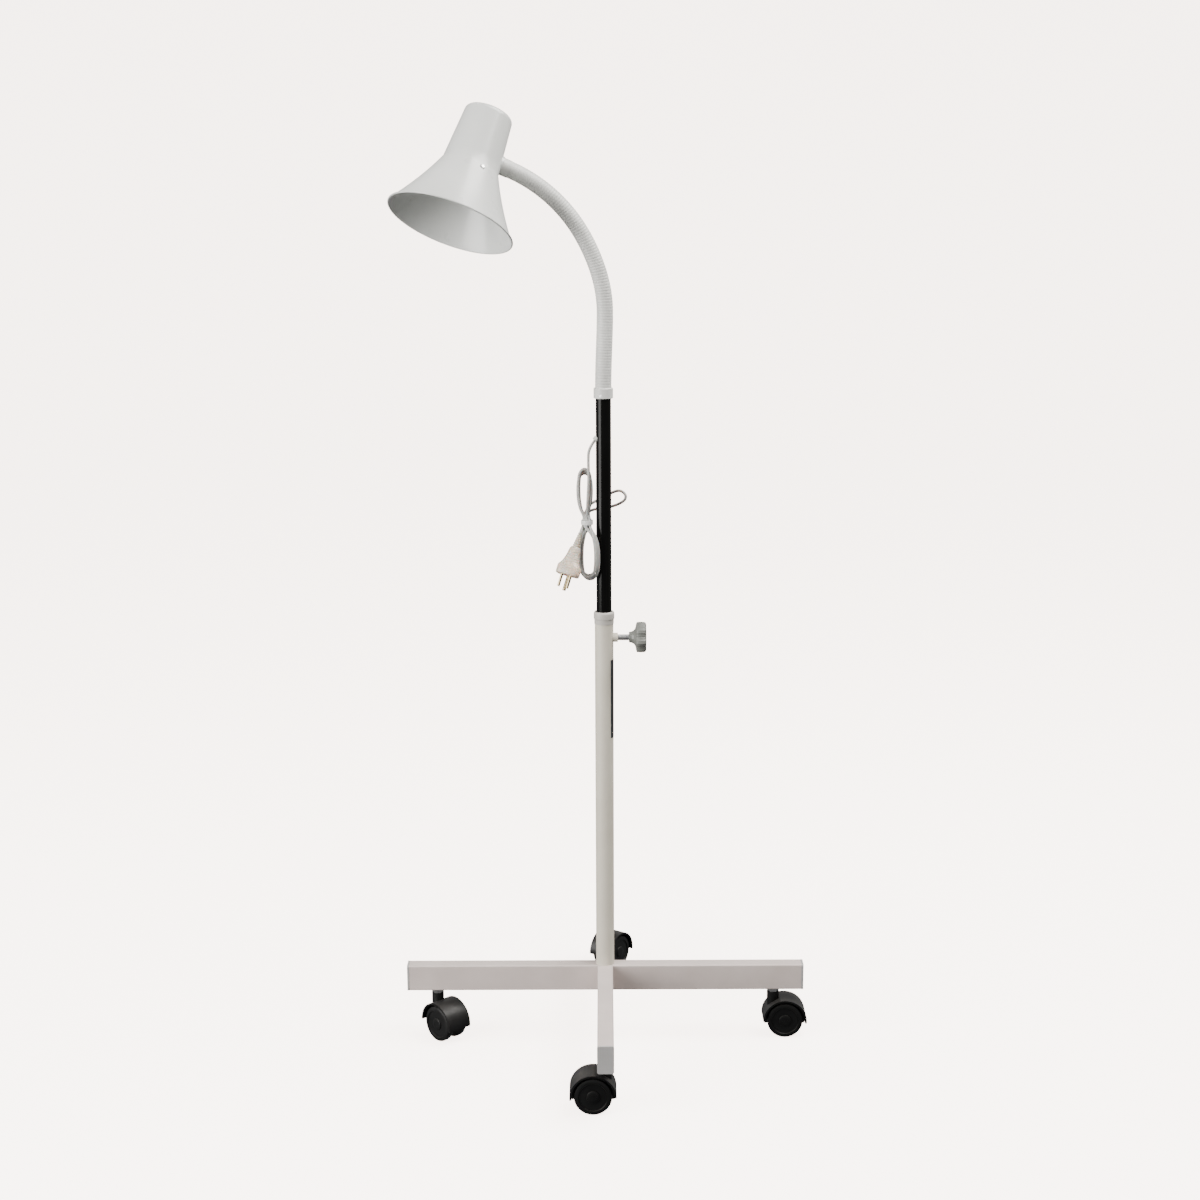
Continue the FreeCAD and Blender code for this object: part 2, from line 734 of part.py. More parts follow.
def hank():
    """The outer shape of the wound cord: an upper and a lower lobe that meet in a tied waist."""
    tie = size("tie_height")
    half_tie = size("tie_tall") / 2
    upper_tall = size("hank_upper_tall")
    lower_tall = size("hank_lower_tall")
    upper = lobe("HankUpper", upper_tall, size("hank_upper_wide"), at(*HANK_UPPER_AT, tie + half_tie))
    lower_low = tie - half_tie - lower_tall
    lower_place = at(*HANK_LOWER_AT, lower_low, Rotation(UP, HANK_LOWER_TURN))
    lower = lobe("HankLower", lower_tall, size("hank_lower_wide"), lower_place)
    waist = cylinder("HankWaist", "hank_waist_dia / 2", "5 * tie_tall")
    waist.Placement = at(*HANK_TIE_AT, tie - 5 * half_tie)
    keep(fuse("CordHank", upper, lower, waist), "cord_hank")

    band_at = at(*HANK_TIE_AT, tie - half_tie)
    band = cylinder("TieBand", "hank_waist_dia / 2 + slip_gap + tie_wall", "tie_tall", band_at)
    band_bore = cylinder("TieBore", "hank_waist_dia / 2 + slip_gap", "tie_tall", band_at)
    keep(cut("CordTie", band, band_bore), "cord_tie")


def plug():
    """A moulded three-pin plug that hangs from the waist of the hank."""
    place = Placement(Vector(*PLUG_AT), facing(Vector(*PLUG_WAY), Vector(*PLUG_ACROSS)))
    taper = cone("PlugTaper", "plug_deep / 2 - 4", "plug_deep / 2", "plug_long - plug_nose")
    face = rounded_box_outline(size("plug_wide"), size("plug_deep"), size("plug_corner"))
    nose = padded_body("PlugNose", "XY_Plane", face, "plug_nose")
    nose.Placement = at(0, 0, size("plug_long") - size("plug_nose"))
    keep(fuse("PlugBody", taper, nose), "plug_body", place)

    relief = cone("PlugRelief", "cord_dia / 2 + 0.6", "plug_deep / 2 - 6", "relief_long")
    keep(relief, "plug_strain_relief", place * at(0, 0, -size("relief_long")))

    blades = []
    for side in (-1, 1):
        blade = block(f"PlugBlade{side + 1}", "blade_thick", "blade_wide", "blade_long")
        x = side * size("blade_pitch") / 2 - size("blade_thick") / 2
        blade.Placement = at(x, size("pins_off_centre") - size("blade_wide") / 2, size("plug_long"))
        blades.append(blade)
    keep(fuse("PlugBlades", *blades), "plug_blades", place)

    pin = cylinder("PlugPin", "ground_pin_dia / 2", "ground_pin_long")
    pin_at = at(0, size("pins_off_centre") - size("ground_pin_drop"), size("plug_long"))
    keep(pin, "plug_ground_pin", place * pin_at)


def cord():
    surface, out = cord_exit()
    mouth = surface + out * size("grommet_reach")
    keep(cord_tube("CordLead", [tuple(mouth)] + CORD_LEAD), "cord_lead")
    keep(cord_tube("CordBackLoop", CORD_BACK_LOOP), "cord_back_loop")
    hank()
    plug()


# ---- gooseneck ----


def neck_axes():
    """The level direction in which the neck leans, and the axis that bends it further that way."""
    yaw = math.radians(size("neck_yaw"))
    lean = Vector(-math.cos(yaw), -math.sin(yaw), 0)
    return lean, UP.cross(lean)


def neck_frame(along):
    """The placement on the neck's centreline at a length above the ferrule, with +Z along it."""
    lean, _ = neck_axes()
    base = UP * (ferrule_foot() + size("ferrule_tall"))
    rise = size("neck_rise")
    radius = size("neck_bend_radius")
    turn = max(0.0, along - rise) / radius
    tangent = lean * math.sin(turn) + UP * math.cos(turn)
    outside = UP * math.sin(turn) - lean * math.cos(turn)
    centre = base + UP * rise + lean * radius
    point = centre + outside * radius if along > rise else base + UP * along
    return Placement(point, Rotation(outside, Vector(), tangent, "ZXY"))


def neck_joints():
    """The lengths along the neck at which its parts turn on each other."""
    bend = size("neck_bend_radius") * math.radians(size("neck_bend_angle"))
    parts = int(size("neck_bend_parts"))
    return [size("neck_root")] + [size("neck_rise") + bend * step / parts for step in range(parts + 1)]


def hose(name, radius, start, end):
    """A stretch of round section along the neck, straight or bent."""
    if end <= size("neck_rise") + 0.001:
        item = doc.addObject("Part::Cylinder", name)
        item.Height = end - start
        item.Placement = neck_frame(start)
        return bind(item, Radius=radius)
    item = doc.addObject("Part::Torus", name)
    item.Angle3 = math.degrees((end - start) / size("neck_bend_radius"))
    frame = neck_frame(start)
    outside = frame.Rotation.multVec(Vector(1, 0, 0))
    tangent = frame.Rotation.multVec(UP)
    centre = frame.Base - outside * size("neck_bend_radius")
    item.Placement = Placement(centre, Rotation(outside, tangent, Vector(), "XYZ"))
    return bind(item, Radius1="neck_bend_radius", Radius2=radius)


def neck_part(name, node, start, end, socket):
    """A stretch of hose with a ball on its far end and, above another part, a socket for that part's ball."""
    gap = size("neck_ball_gap")
    tube = hose(name + "Tube", "neck_dia / 2", start, end - gap)
    far = neck_frame(end)
    knuckle = ball(name + "Ball", "neck_ball_dia / 2", far)
    room = [hose(name + "Bore", "neck_bore / 2", start, end - gap)]
    below = far * at(0, 0, -0.6 * size("neck_ball_dia"))
    room.append(cylinder(name + "Mouth", "neck_mouth_dia / 2", "1.2 * neck_ball_dia", below))
    if socket:
        near = neck_frame(start)
        room.append(ball(name + "Socket", "neck_ball_dia / 2 + running_gap", near))
    keep(cut(name, fuse(name + "Solid", tube, knuckle), *room), node)


def gooseneck():
    joints = neck_joints()
    neck_part("NeckRoot", "neck_root", 0.0, joints[0], False)
    for number, (start, end) in enumerate(zip(joints, joints[1:]), start=1):
        neck_part(f"NeckSegment{number}", f"neck_segment_{number}", start, end, True)


# ---- head ----


def head_frame():
    """The shade's frame: its origin in the mouth, +Z up the shade's axis and +X towards the neck."""
    tip = neck_frame(neck_joints()[-1])
    _, hinge = neck_axes()
    tangent = tip.Rotation.multVec(UP)
    toward_neck = tangent * -1
    level_back = toward_neck.cross(hinge)
    if level_back.z < 0:
        level_back = level_back * -1
    back = Rotation(tangent, size("shade_twist")).multVec(level_back)
    on_axis = tip.Base + tangent * size("neck_to_shade_axis")
    mouth = on_axis - back * size("shade_neck_at")
    return Placement(mouth, Rotation(toward_neck, Vector(), back, "ZXY"))


def flare(inset):
    """The circle of the flare's curved side, moved in by inset: its centre and radius in (radius, height)."""
    mouth = Vector(size("shade_mouth_dia") / 2, 0, 0)
    knee = Vector(size("shade_knee_dia") / 2, size("shade_knee_at"), 0)
    chord = knee - mouth
    hollow = size("shade_hollow")
    radius = (chord.Length ** 2 / 4 + hollow ** 2) / (2 * hollow)
    outward = Vector(-chord.y, chord.x, 0).normalize() * -1
    centre = (mouth + knee) / 2 + outward * (radius - hollow)
    return centre, radius + inset


def flare_radius(height, inset=0.0):
    """The shade's radius on the flare at a height above the mouth."""
    centre, radius = flare(inset)
    return centre.x - math.sqrt(radius ** 2 - (height - centre.y) ** 2)


def shade_outline(inset, floor):
    """The shade's side view, moved in by inset and reaching down to floor."""
    knee_at = size("shade_knee_at")
    back = size("shade_long") - inset
    back_radius = size("shade_back_dia") / 2 - inset
    round_off = size("shade_back_round") - inset
    knee = (size("shade_knee_dia") / 2 - inset, knee_at)
    middle = (flare_radius(knee_at / 2, inset), knee_at / 2)
    corner = (back_radius - round_off * 0.3, back - round_off * 0.3)
    return path(
        (0, floor),
        (flare_radius(floor, inset), floor),
        (middle, knee),
        (back_radius, back - round_off),
        (corner, (back_radius - round_off, back)),
        (0, back),
        (0, floor),
    )


def shade():
    wall = size("shade_wall")
    shell = turned_body("ShadeTurned", shade_outline(0.0, 0.0), shade_outline(wall, -1.0))
    rim = doc.addObject("Part::Torus", "ShadeRim")
    rim.Placement = at(0, 0, size("rim_roll_dia") / 2)
    bind(rim, Radius1="shade_mouth_dia / 2 - shade_wall / 2", Radius2="rim_roll_dia / 2")
    along_x = facing(Vector(1, 0, 0))
    hole = cylinder("ShadeHole", "nipple_dia / 2 + running_gap", "shade_back_dia")
    hole.Placement = at(0, 0, size("shade_neck_at"), along_x)
    holes = [hole]
    for side in (-1, 1):
        holes.append(rivet_hole(f"ShadeRivetHole{side + 1}", side))
    return cut("Shade", fuse("ShadeSolid", shell, rim), *holes)


def rivet_frame(side):
    """On the shade's outer surface at a rivet, +Z outward."""
    height = size("band_at")
    turn = Rotation(UP, side * size("rivet_turn"))
    slope = (flare_radius(height - 1) - flare_radius(height + 1)) / 2
    out = turn.multVec(Vector(1, 0, slope))
    point = turn.multVec(Vector(flare_radius(height), 0, 0)) + UP * height
    return Placement(point, facing(out.normalize()))


def rivet_hole(name, side):
    inside = rivet_frame(side) * at(0, 0, -1.5 * size("rivet_dia"))
    return cylinder(name, "rivet_dia / 2", "3 * rivet_dia", inside)


def rivets():
    pieces = []
    depth = size("shade_wall") + size("slip_gap") + size("rivet_grip")
    for side in (-1, 1):
        frame = rivet_frame(side)
        shank = cylinder(f"RivetShank{side + 1}", "rivet_dia / 2", "shade_wall + slip_gap + rivet_grip")
        shank.Placement = frame * at(0, 0, -depth)
        low_radius = "rivet_head_dia / 2"
        head = cone(f"RivetHead{side + 1}", low_radius, low_radius + " - rivet_head_tall", "rivet_head_tall")
        head.Placement = frame * at(0, 0, 0.02)
        pieces += [shank, head]
    return fuse("ShadeRivets", *pieces)


def bracket():
    """A strip from the nipple up to the lamp holder's back, with a band that the rivets hold."""
    thick = size("bracket_thick")
    arm_out = size("shade_back_dia") / 2 - size("shade_wall") - 0.8
    holder_back = size("shade_long") - size("holder_back_room")
    low = size("band_at") + 2.5
    foot = flare_radius(low, size("shade_wall") + 1.3)
    outline = path(
        (-8, holder_back),
        (arm_out - thick, holder_back),
        (arm_out - thick, low + 11),
        (foot - 1.2, low),
        (foot, low),
        (arm_out, low + 12),
        (arm_out, holder_back + thick),
        (-8, holder_back + thick),
        (-8, holder_back),
    )
    strip = padded_body("BracketStrip", "XZ_Plane", outline, "bracket_wide", True)
    half = size("band_wide") / 2
    low_edge = size("band_at") - half
    high_edge = size("band_at") + half
    gap = size("shade_wall") + size("slip_gap")
    section = Part.Wire(
        Part.makePolygon(
            [
                Vector(flare_radius(low_edge, gap + 0.3), 0, low_edge),
                Vector(flare_radius(high_edge, gap + 0.3), 0, high_edge),
                Vector(flare_radius(high_edge, gap + 1.5), 0, high_edge),
                Vector(flare_radius(low_edge, gap + 1.5), 0, low_edge),
                Vector(flare_radius(low_edge, gap + 0.3), 0, low_edge),
            ]
        ).Edges
    )
    sweep = 2 * size("band_half_turn")
    band_shape = Part.Face(section).revolve(Vector(), UP, sweep)
    band = solid_feature("BracketBand", band_shape)
    band.Placement = at(0, 0, 0, Rotation(UP, -size("band_half_turn")))
    along_x = facing(Vector(1, 0, 0))
    boss_low = arm_out - thick
    boss = cylinder("BracketBoss", "nipple_dia / 2 + bracket_thick", "bracket_boss")
    boss.Placement = at(boss_low, 0, size("shade_neck_at"), along_x)
    hole = cylinder("BracketHole", "nipple_dia / 2 + running_gap", "shade_back_dia")
    hole.Placement = at(0, 0, size("shade_neck_at"), along_x)
    holes = [hole]
    for side in (-1, 1):
        holes.append(rivet_hole(f"BandHole{side + 1}", side))
    return cut("HolderBracket", fuse("BracketSolid", strip, band, boss), *holes)


def head():
    place = head_frame()
    keep(shade(), "shade", place)
    keep(rivets(), "shade_rivets", place)
    keep(bracket(), "holder_bracket", place)

    holder_back = size("shade_long") - size("holder_back_room")
    holder_low = holder_back - size("holder_long")
    body = cylinder("HolderBody", "holder_dia / 2", "holder_long", at(0, 0, holder_low))
    bore = cylinder("HolderBore", "holder_bore_dia / 2", "holder_bore_deep", at(0, 0, holder_low))
    keep(cut("LampHolder", body, bore), "lamp_holder", place)

    cap_top = holder_low + size("holder_bore_deep")
    cap_low = cap_top - size("bulb_cap_long")
    keep(cylinder("BulbCap", "bulb_cap_dia / 2", "bulb_cap_long"), "bulb_cap", place * at(0, 0, cap_low))

    globe = size("bulb_dia") / 2
    neck = size("bulb_neck_dia") / 2
    centre = cap_low - globe - 5.5
    outline = path(
        (0, cap_low),
        (neck, cap_low),
        (neck, centre + math.sqrt(globe ** 2 - neck ** 2)),
        ((globe, centre), (0, centre - globe)),
        (0, cap_low),
    )
    keep(turned_body("BulbGlass", outline), "bulb_glass", place)


def neck_tip():
    """The end fitting of the gooseneck, and the nipple and nut that carry the shade."""
    place = head_frame()
    tip = neck_frame(neck_joints()[-1])
    lower_edge = size("shade_neck_at") - size("neck_dia") / 2 - 1
    to_back = (size("shade_long") - lower_edge) / (size("shade_long") - size("shade_knee_at"))
    wall_at = size("shade_back_dia") / 2
    wall_at += (size("shade_knee_dia") - size("shade_back_dia")) / 2 * to_back
    long = size("neck_to_shade_axis") - wall_at - size("part_gap")
    sleeve = doc.addObject("Part::Cylinder", "TipSleeve")
    sleeve.Height = long
    sleeve.Placement = tip
    bind(sleeve, Radius="neck_dia / 2 + 0.4")
    socket = ball("TipSocket", "neck_ball_dia / 2 + running_gap", tip)
    bore = cylinder("TipBore", "nipple_dia / 2", "neck_to_shade_axis", tip)
    keep(cut("NeckEndFerrule", sleeve, socket, bore), "neck_end_ferrule")

    arm_out = size("shade_back_dia") / 2 - size("shade_wall") - 0.8
    nut_face = arm_out - size("bracket_thick") - size("slip_gap")
    inner = nut_face - size("nipple_nut_tall") - 1.5
    outer = size("neck_to_shade_axis") - size("neck_ball_dia") / 2 - 0.4
    along_x = facing(Vector(1, 0, 0))
    height = size("shade_neck_at")
    tube = doc.addObject("Part::Cylinder", "NippleTube")
    tube.Height = outer - inner
    tube.Placement = at(inner, 0, height, along_x)
    bind(tube, Radius="nipple_dia / 2")
    tunnel = cylinder("NippleTunnel", "nipple_bore / 2", "neck_to_shade_axis", at(inner, 0, height, along_x))
    keep(cut("NeckNipple", tube, tunnel), "neck_nipple", place)

    nut_low = nut_face - size("nipple_nut_tall")
    nut = hexagon("NutSolid", "nipple_nut_flats", "nipple_nut_tall", at(nut_low, 0, height, along_x))
    nut_bore = cylinder("NutBore", "nipple_dia / 2", "nipple_nut_tall", at(nut_low, 0, height, along_x))
    keep(cut("NippleNut", nut, nut_bore), "nipple_nut", place)


# ---- the lamp ----

base_frame()
reach = size("beam_half_span")
end_cap("end_cap_left", reach, Vector(-1, 0, 0))
end_cap("end_cap_right", reach, Vector(1, 0, 0))
end_cap("end_cap_front", size("arm_reach"), Vector(0, -1, 0))
end_cap("end_cap_rear", size("arm_reach"), Vector(0, 1, 0))
stem_at = reach - size("caster_inset")
caster("left", -stem_at, 0, -46)
caster("right", stem_at, 0, 0)
caster("front", 0, -stem_at, 180)
caster("rear", 0, stem_at, 55)
lower_mast()
guide_collar()
clamp()
upper_mast()
cord()
gooseneck()
neck_tip()
head()
doc.recompute()

os.makedirs("parts", exist_ok=True)
for item in doc.Objects:
    assert "Invalid" not in item.State and "Error" not in item.State, item.Label + " failed"
for item in SUBPARTS:
    assert not item.Shape.isNull() and item.Shape.isValid(), item.Label + " has no valid shape"
    assert item.Shape.Solids, item.Label + " has no solid"
for item in SUBPARTS:
    item.Shape.exportStep(f"parts/{item.Label}.step")
print(len(SUBPARTS), "sub-parts")
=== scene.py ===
"""The visual model of a pharmacy floor lamp, built round its CAD frame.

Metres; +Z is up and -Y is the front.
"""

import json
import math

import bpy
import numpy as np
from mathutils import Matrix, Vector


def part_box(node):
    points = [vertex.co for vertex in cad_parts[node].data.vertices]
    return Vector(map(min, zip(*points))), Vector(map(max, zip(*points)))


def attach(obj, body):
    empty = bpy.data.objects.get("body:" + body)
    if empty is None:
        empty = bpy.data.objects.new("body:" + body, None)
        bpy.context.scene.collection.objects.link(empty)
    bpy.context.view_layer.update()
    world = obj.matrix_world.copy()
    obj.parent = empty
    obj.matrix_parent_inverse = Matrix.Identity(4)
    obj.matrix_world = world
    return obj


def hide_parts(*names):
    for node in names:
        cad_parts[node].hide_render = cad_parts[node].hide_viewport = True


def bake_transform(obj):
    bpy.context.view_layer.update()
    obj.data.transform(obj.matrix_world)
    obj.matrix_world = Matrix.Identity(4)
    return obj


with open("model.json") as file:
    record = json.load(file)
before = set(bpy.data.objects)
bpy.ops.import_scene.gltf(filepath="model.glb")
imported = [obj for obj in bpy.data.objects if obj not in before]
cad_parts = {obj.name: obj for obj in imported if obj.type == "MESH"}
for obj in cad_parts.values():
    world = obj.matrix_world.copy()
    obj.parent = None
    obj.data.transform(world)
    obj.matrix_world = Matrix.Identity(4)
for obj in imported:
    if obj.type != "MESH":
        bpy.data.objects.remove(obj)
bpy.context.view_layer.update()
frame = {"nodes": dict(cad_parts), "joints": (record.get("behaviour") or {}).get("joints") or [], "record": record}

MM = 0.001
UP = Vector((0, 0, 1))
SLOT_OF = {part["node"]: part["material_slot"] for part in frame["record"]["subparts"]}


# ---- materials ----


def add_node(tree, kind, **inputs):
    node = tree.nodes.new(kind)
    for key, value in inputs.items():
        node.inputs[key.replace("_", " ")].default_value = value
    return node


def noise(tree, coords, scale, detail=3.0):
    node = add_node(tree, "ShaderNodeTexNoise", Scale=scale, Detail=detail)
    tree.links.new(coords, node.inputs["Vector"])
    return node.outputs["Fac"]


def ramp(tree, value, low, high, start=0.3, end=0.7):
    """Two colours over a range of the value."""
    node = tree.nodes.new("ShaderNodeValToRGB")
    node.color_ramp.elements[0].position = start
    node.color_ramp.elements[0].color = (*low, 1)
    node.color_ramp.elements[1].position = end
    node.color_ramp.elements[1].color = (*high, 1)
    tree.links.new(value, node.inputs["Fac"])
    return node.outputs["Color"]


def spread(tree, value, low, high):
    """The value's middle range spread between low and high."""
    node = add_node(tree, "ShaderNodeMapRange", From_Min=0.3, From_Max=0.7, To_Min=low, To_Max=high)
    tree.links.new(value, node.inputs["Value"])
    return node.outputs["Result"]


def mixed(tree, share, one, other):
    node = tree.nodes.new("ShaderNodeMix")
    node.data_type = "RGBA"
    tree.links.new(share, node.inputs["Factor"])
    tree.links.new(one, node.inputs["A"])
    tree.links.new(other, node.inputs["B"])
    return node.outputs["Result"]


def settled_dust(tree, coords, colour, tint, amount):
    """Dust on the faces that look up, broken into soft patches."""
    normal = tree.nodes.new("ShaderNodeNewGeometry").outputs["Normal"]
    split = tree.nodes.new("ShaderNodeSeparateXYZ")
    tree.links.new(normal, split.inputs["Vector"])
    upward = add_node(tree, "ShaderNodeMapRange", From_Min=0.4, From_Max=1.0, To_Max=amount)
    tree.links.new(split.outputs["Z"], upward.inputs["Value"])
    patchy = tree.nodes.new("ShaderNodeMath")
    patchy.operation = "MULTIPLY"
    tree.links.new(upward.outputs["Result"], patchy.inputs[0])
    tree.links.new(noise(tree, coords, 35.0), patchy.inputs[1])
    dust = tree.nodes.new("ShaderNodeRGB")
    dust.outputs["Color"].default_value = (*tint, 1)
    return mixed(tree, patchy.outputs["Value"], colour, dust.outputs["Color"])


def finish_of(
    name,
    dark,
    light,
    rough=(0.35, 0.45),
    mottle=22.0,
    grain=900.0,
    grain_depth=0.00002,
    wave=60.0,
    wave_depth=0.0,
    dust=0.0,
    dust_tint=(0.55, 0.53, 0.5),
    **sockets,
):
    """A Principled material: mottled colour, uneven gloss, fine grain, and waviness and dust if asked."""
    material = bpy.data.materials.new(name)
    material.use_nodes = True
    tree = material.node_tree
    shader = tree.nodes["Principled BSDF"]
    coords = tree.nodes.new("ShaderNodeTexCoord").outputs["Object"]
    colour = ramp(tree, noise(tree, coords, mottle), dark, light)
    if dust:
        colour = settled_dust(tree, coords, colour, dust_tint, dust)
    tree.links.new(colour, shader.inputs["Base Color"])
    tree.links.new(spread(tree, noise(tree, coords, mottle * 2.3), *rough), shader.inputs["Roughness"])
    bump = add_node(tree, "ShaderNodeBump", Strength=0.5, Distance=grain_depth)
    tree.links.new(noise(tree, coords, grain, 2.0), bump.inputs["Height"])
    tree.links.new(bump.outputs["Normal"], shader.inputs["Normal"])
    if wave_depth:
        slow = add_node(tree, "ShaderNodeBump", Strength=0.6, Distance=wave_depth)
        tree.links.new(noise(tree, coords, wave, 1.0), slow.inputs["Height"])
        tree.links.new(slow.outputs["Normal"], bump.inputs["Normal"])
    for key, value in sockets.items():
        shader.inputs[key.replace("_", " ")].default_value = value
    return material


MATERIALS = {
    "cream_paint": finish_of(
        "CreamPaint",
        (0.52, 0.45, 0.42),
        (0.58, 0.505, 0.475),
        (0.38, 0.5),
        grain=1400,
        grain_depth=0.00004,
        dust=0.12,
    ),
    "tube_paint": finish_of(
        "TubePaint", (0.56, 0.52, 0.435), (0.62, 0.58, 0.49), (0.34, 0.46), grain=1400, grain_depth=0.00004
    ),
    "grey_plastic": finish_of(
        "GreyPlastic",
        (0.33, 0.325, 0.32),
        (0.38, 0.372, 0.366),
        (0.42, 0.55),
        grain=2200,
        grain_depth=0.00003,
        dust=0.2,
    ),
    "black_plastic": finish_of(
        "BlackPlastic",
        (0.003, 0.003, 0.003),
        (0.007, 0.007, 0.007),
        (0.3, 0.42),
        grain=2600,
        grain_depth=0.00003,
        dust=0.06,
        Specular_IOR_Level=0.3,
    ),
    "zinc": finish_of(
        "Zinc", (0.40, 0.40, 0.41), (0.58, 0.58, 0.57), (0.28, 0.42), mottle=160, grain=3000, Metallic=1.0
    ),
    "ivory_plastic": finish_of(
        "IvoryPlastic", (0.44, 0.42, 0.385), (0.50, 0.475, 0.44), (0.3, 0.4), grain=1800, grain_depth=0.00002
    ),
    "dark_label": finish_of(
        "DarkLabel", (0.010, 0.010, 0.012), (0.022, 0.022, 0.024), (0.34, 0.46), mottle=60, Coat_Weight=0.3
    ),
    "knob_plastic": finish_of(
        "KnobPlastic", (0.115, 0.12, 0.11), (0.155, 0.16, 0.145), (0.36, 0.5), grain=2000, grain_depth=0.00004
    ),
    "bush_plastic": finish_of("BushPlastic", (0.6, 0.6, 0.57), (0.68, 0.68, 0.64), (0.4, 0.5)),
    "black_paint": finish_of(
        "BlackPaint",
        (0.0016, 0.0016, 0.0015),
        (0.0032, 0.0032, 0.0030),
        (0.12, 0.2),
        mottle=14,
        grain=260,
        grain_depth=0.000004,
        wave=60,
        wave_depth=0.00001,
        Specular_IOR_Level=0.14,
    ),
    "gooseneck": finish_of(
        "Gooseneck",
        (0.55, 0.55, 0.525),
        (0.62, 0.62, 0.595),
        (0.36, 0.48),
        mottle=40,
        grain=1600,
        grain_depth=0.00003,
    ),
    "cord_pvc": finish_of(
        "CordPvc",
        (0.34, 0.33, 0.315),
        (0.44, 0.425, 0.405),
        (0.36, 0.5),
        mottle=60,
        grain=2500,
        Subsurface_Weight=0.08,
    ),
    "tie_plastic": finish_of("TiePlastic", (0.62, 0.62, 0.60), (0.72, 0.72, 0.70), (0.3, 0.42), grain=2500),
    "plug_pvc": finish_of(
        "PlugPvc",
        (0.40, 0.42, 0.37),
        (0.66, 0.52, 0.41),
        (0.22, 0.34),
        mottle=38,
        grain=1500,
        Transmission_Weight=0.3,
        Subsurface_Weight=0.25,
        IOR=1.5,
    ),
    "brass": finish_of(
        "Brass", (0.42, 0.34, 0.20), (0.58, 0.49, 0.31), (0.24, 0.36), mottle=300, grain=3000, Metallic=1.0
    ),
    "shade_enamel": finish_of(
        "ShadeEnamel",
        (0.565, 0.575, 0.555),
        (0.605, 0.615, 0.595),
        (0.26, 0.36),
        mottle=16,
        grain=700,
        grain_depth=0.00003,
        wave=45,
        wave_depth=0.0001,
        Coat_Weight=0.25,
        Coat_Roughness=0.2,
    ),
    "rivet_steel": finish_of(
        "RivetSteel",
        (0.66, 0.66, 0.64),
        (0.78, 0.78, 0.76),
        (0.2, 0.32),
        mottle=300,
        grain=3000,
        Metallic=0.7,
    ),
    "holder_porcelain": finish_of(
        "HolderPorcelain", (0.72, 0.72, 0.70), (0.8, 0.8, 0.78), (0.14, 0.24), wave=200, wave_depth=0.00005
    ),
    "bulb_glass": finish_of(
        "BulbGlass", (0.85, 0.85, 0.84), (0.9, 0.9, 0.89), (0.16, 0.24), mottle=60, Subsurface_Weight=0.3
    ),
}

TUBE_NODES = ["mast_tube_lower", "clamp_boss"]
NECK_NODES = ["neck_ferrule", "neck_end_ferrule"]
for node, item in frame["nodes"].items():
    finish = "tube_paint" if node in TUBE_NODES else "gooseneck" if node in NECK_NODES else SLOT_OF[node]
    for material_slot in item.material_slots:
        material_slot.material = MATERIALS[finish]


# ---- mesh helpers ----


def at(x, y, z):
    return Matrix.Translation((x, y, z))


def facing(way, across=Vector((1, 0, 0))):
    """A turn that takes +Z to way and +X as near as it can to across."""
    z = Vector(way).normalized()
    y = z.cross(Vector(across)).normalized()
    return Matrix((y.cross(z), y, z)).transposed().to_4x4()


def piece(name, verts, faces, slot, place=Matrix(), crease=40.0):
    """A mesh object from points and faces, smooth except where it turns by more than crease degrees."""
    mesh = bpy.data.meshes.new(name)
    mesh.from_pydata([tuple(place @ Vector(v)) for v in verts], [], faces)
    mesh.validate()
    mesh.shade_smooth()
    mesh.set_sharp_from_angle(angle=math.radians(crease))
    item = bpy.data.objects.new(name, mesh)
    bpy.context.scene.collection.objects.link(item)
    mesh.materials.append(MATERIALS[slot])
    return item


def skin(rings, closed_ends=True, loop=False):
    """Points and faces of a skin over rings of equally many points, with its ends filled by fans."""
    count = len(rings[0])
    verts = [point for ring in rings for point in ring]
    faces = []
    last = len(rings) if loop else len(rings) - 1
    for row in range(last):
        below = row * count
        above = (row + 1) % len(rings) * count
        for k in range(count):
            after = (k + 1) % count
            faces.append((below + k, below + after, above + after, above + k))
    if closed_ends and not loop:
        for ring, flip in ((0, True), (len(rings) - 1, False)):
            middle = sum((Vector(p) for p in rings[ring]), Vector()) / count
            verts.append(tuple(middle))
            hub = len(verts) - 1
            for k in range(count):
                one, two = ring * count + k, ring * count + (k + 1) % count
                faces.append((two, one, hub) if flip else (one, two, hub))
    return verts, faces


def turned(profile, steps=96, loop=False):
    """A profile of (radius, height) turned about +Z. A looped profile closes on itself."""
    rings = []
    for radius, height in profile:
        ring = []
        for k in range(steps):
            turn = math.tau * k / steps
            ring.append((radius * math.cos(turn), radius * math.sin(turn), height))
        rings.append(ring)
    return skin(rings, closed_ends=not loop, loop=loop)


def rounded(points, radius, steps=4):
    """An open profile with its inner corners rounded to about the radius."""
    out = [points[0]]
    for before, corner, after in zip(points, points[1:], points[2:]):
        b, c, a = Vector(before), Vector(corner), Vector(after)
        reach = min(radius, (b - c).length * 0.45, (a - c).length * 0.45)
        start = c + (b - c).normalized() * reach
        end = c + (a - c).normalized() * reach
        for step in range(steps + 1):
            t = step / steps
            out.append(tuple(start * (1 - t) ** 2 + c * 2 * t * (1 - t) + end * t ** 2))
    out.append(points[-1])
    return out


def middle_of(node):
    low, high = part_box(node)
    return (Vector(low) + Vector(high)) / 2


# ---- camera ----

CAMERA_BACK = 2.638
CAMERA_HEIGHT = 1.1907
CAMERA_DOWN = math.radians(12.0)
CAMERA_ROLL = math.radians(-0.2)
CAMERA_LENS = 59.64
CAMERA_SHIFT = -4 / 1200

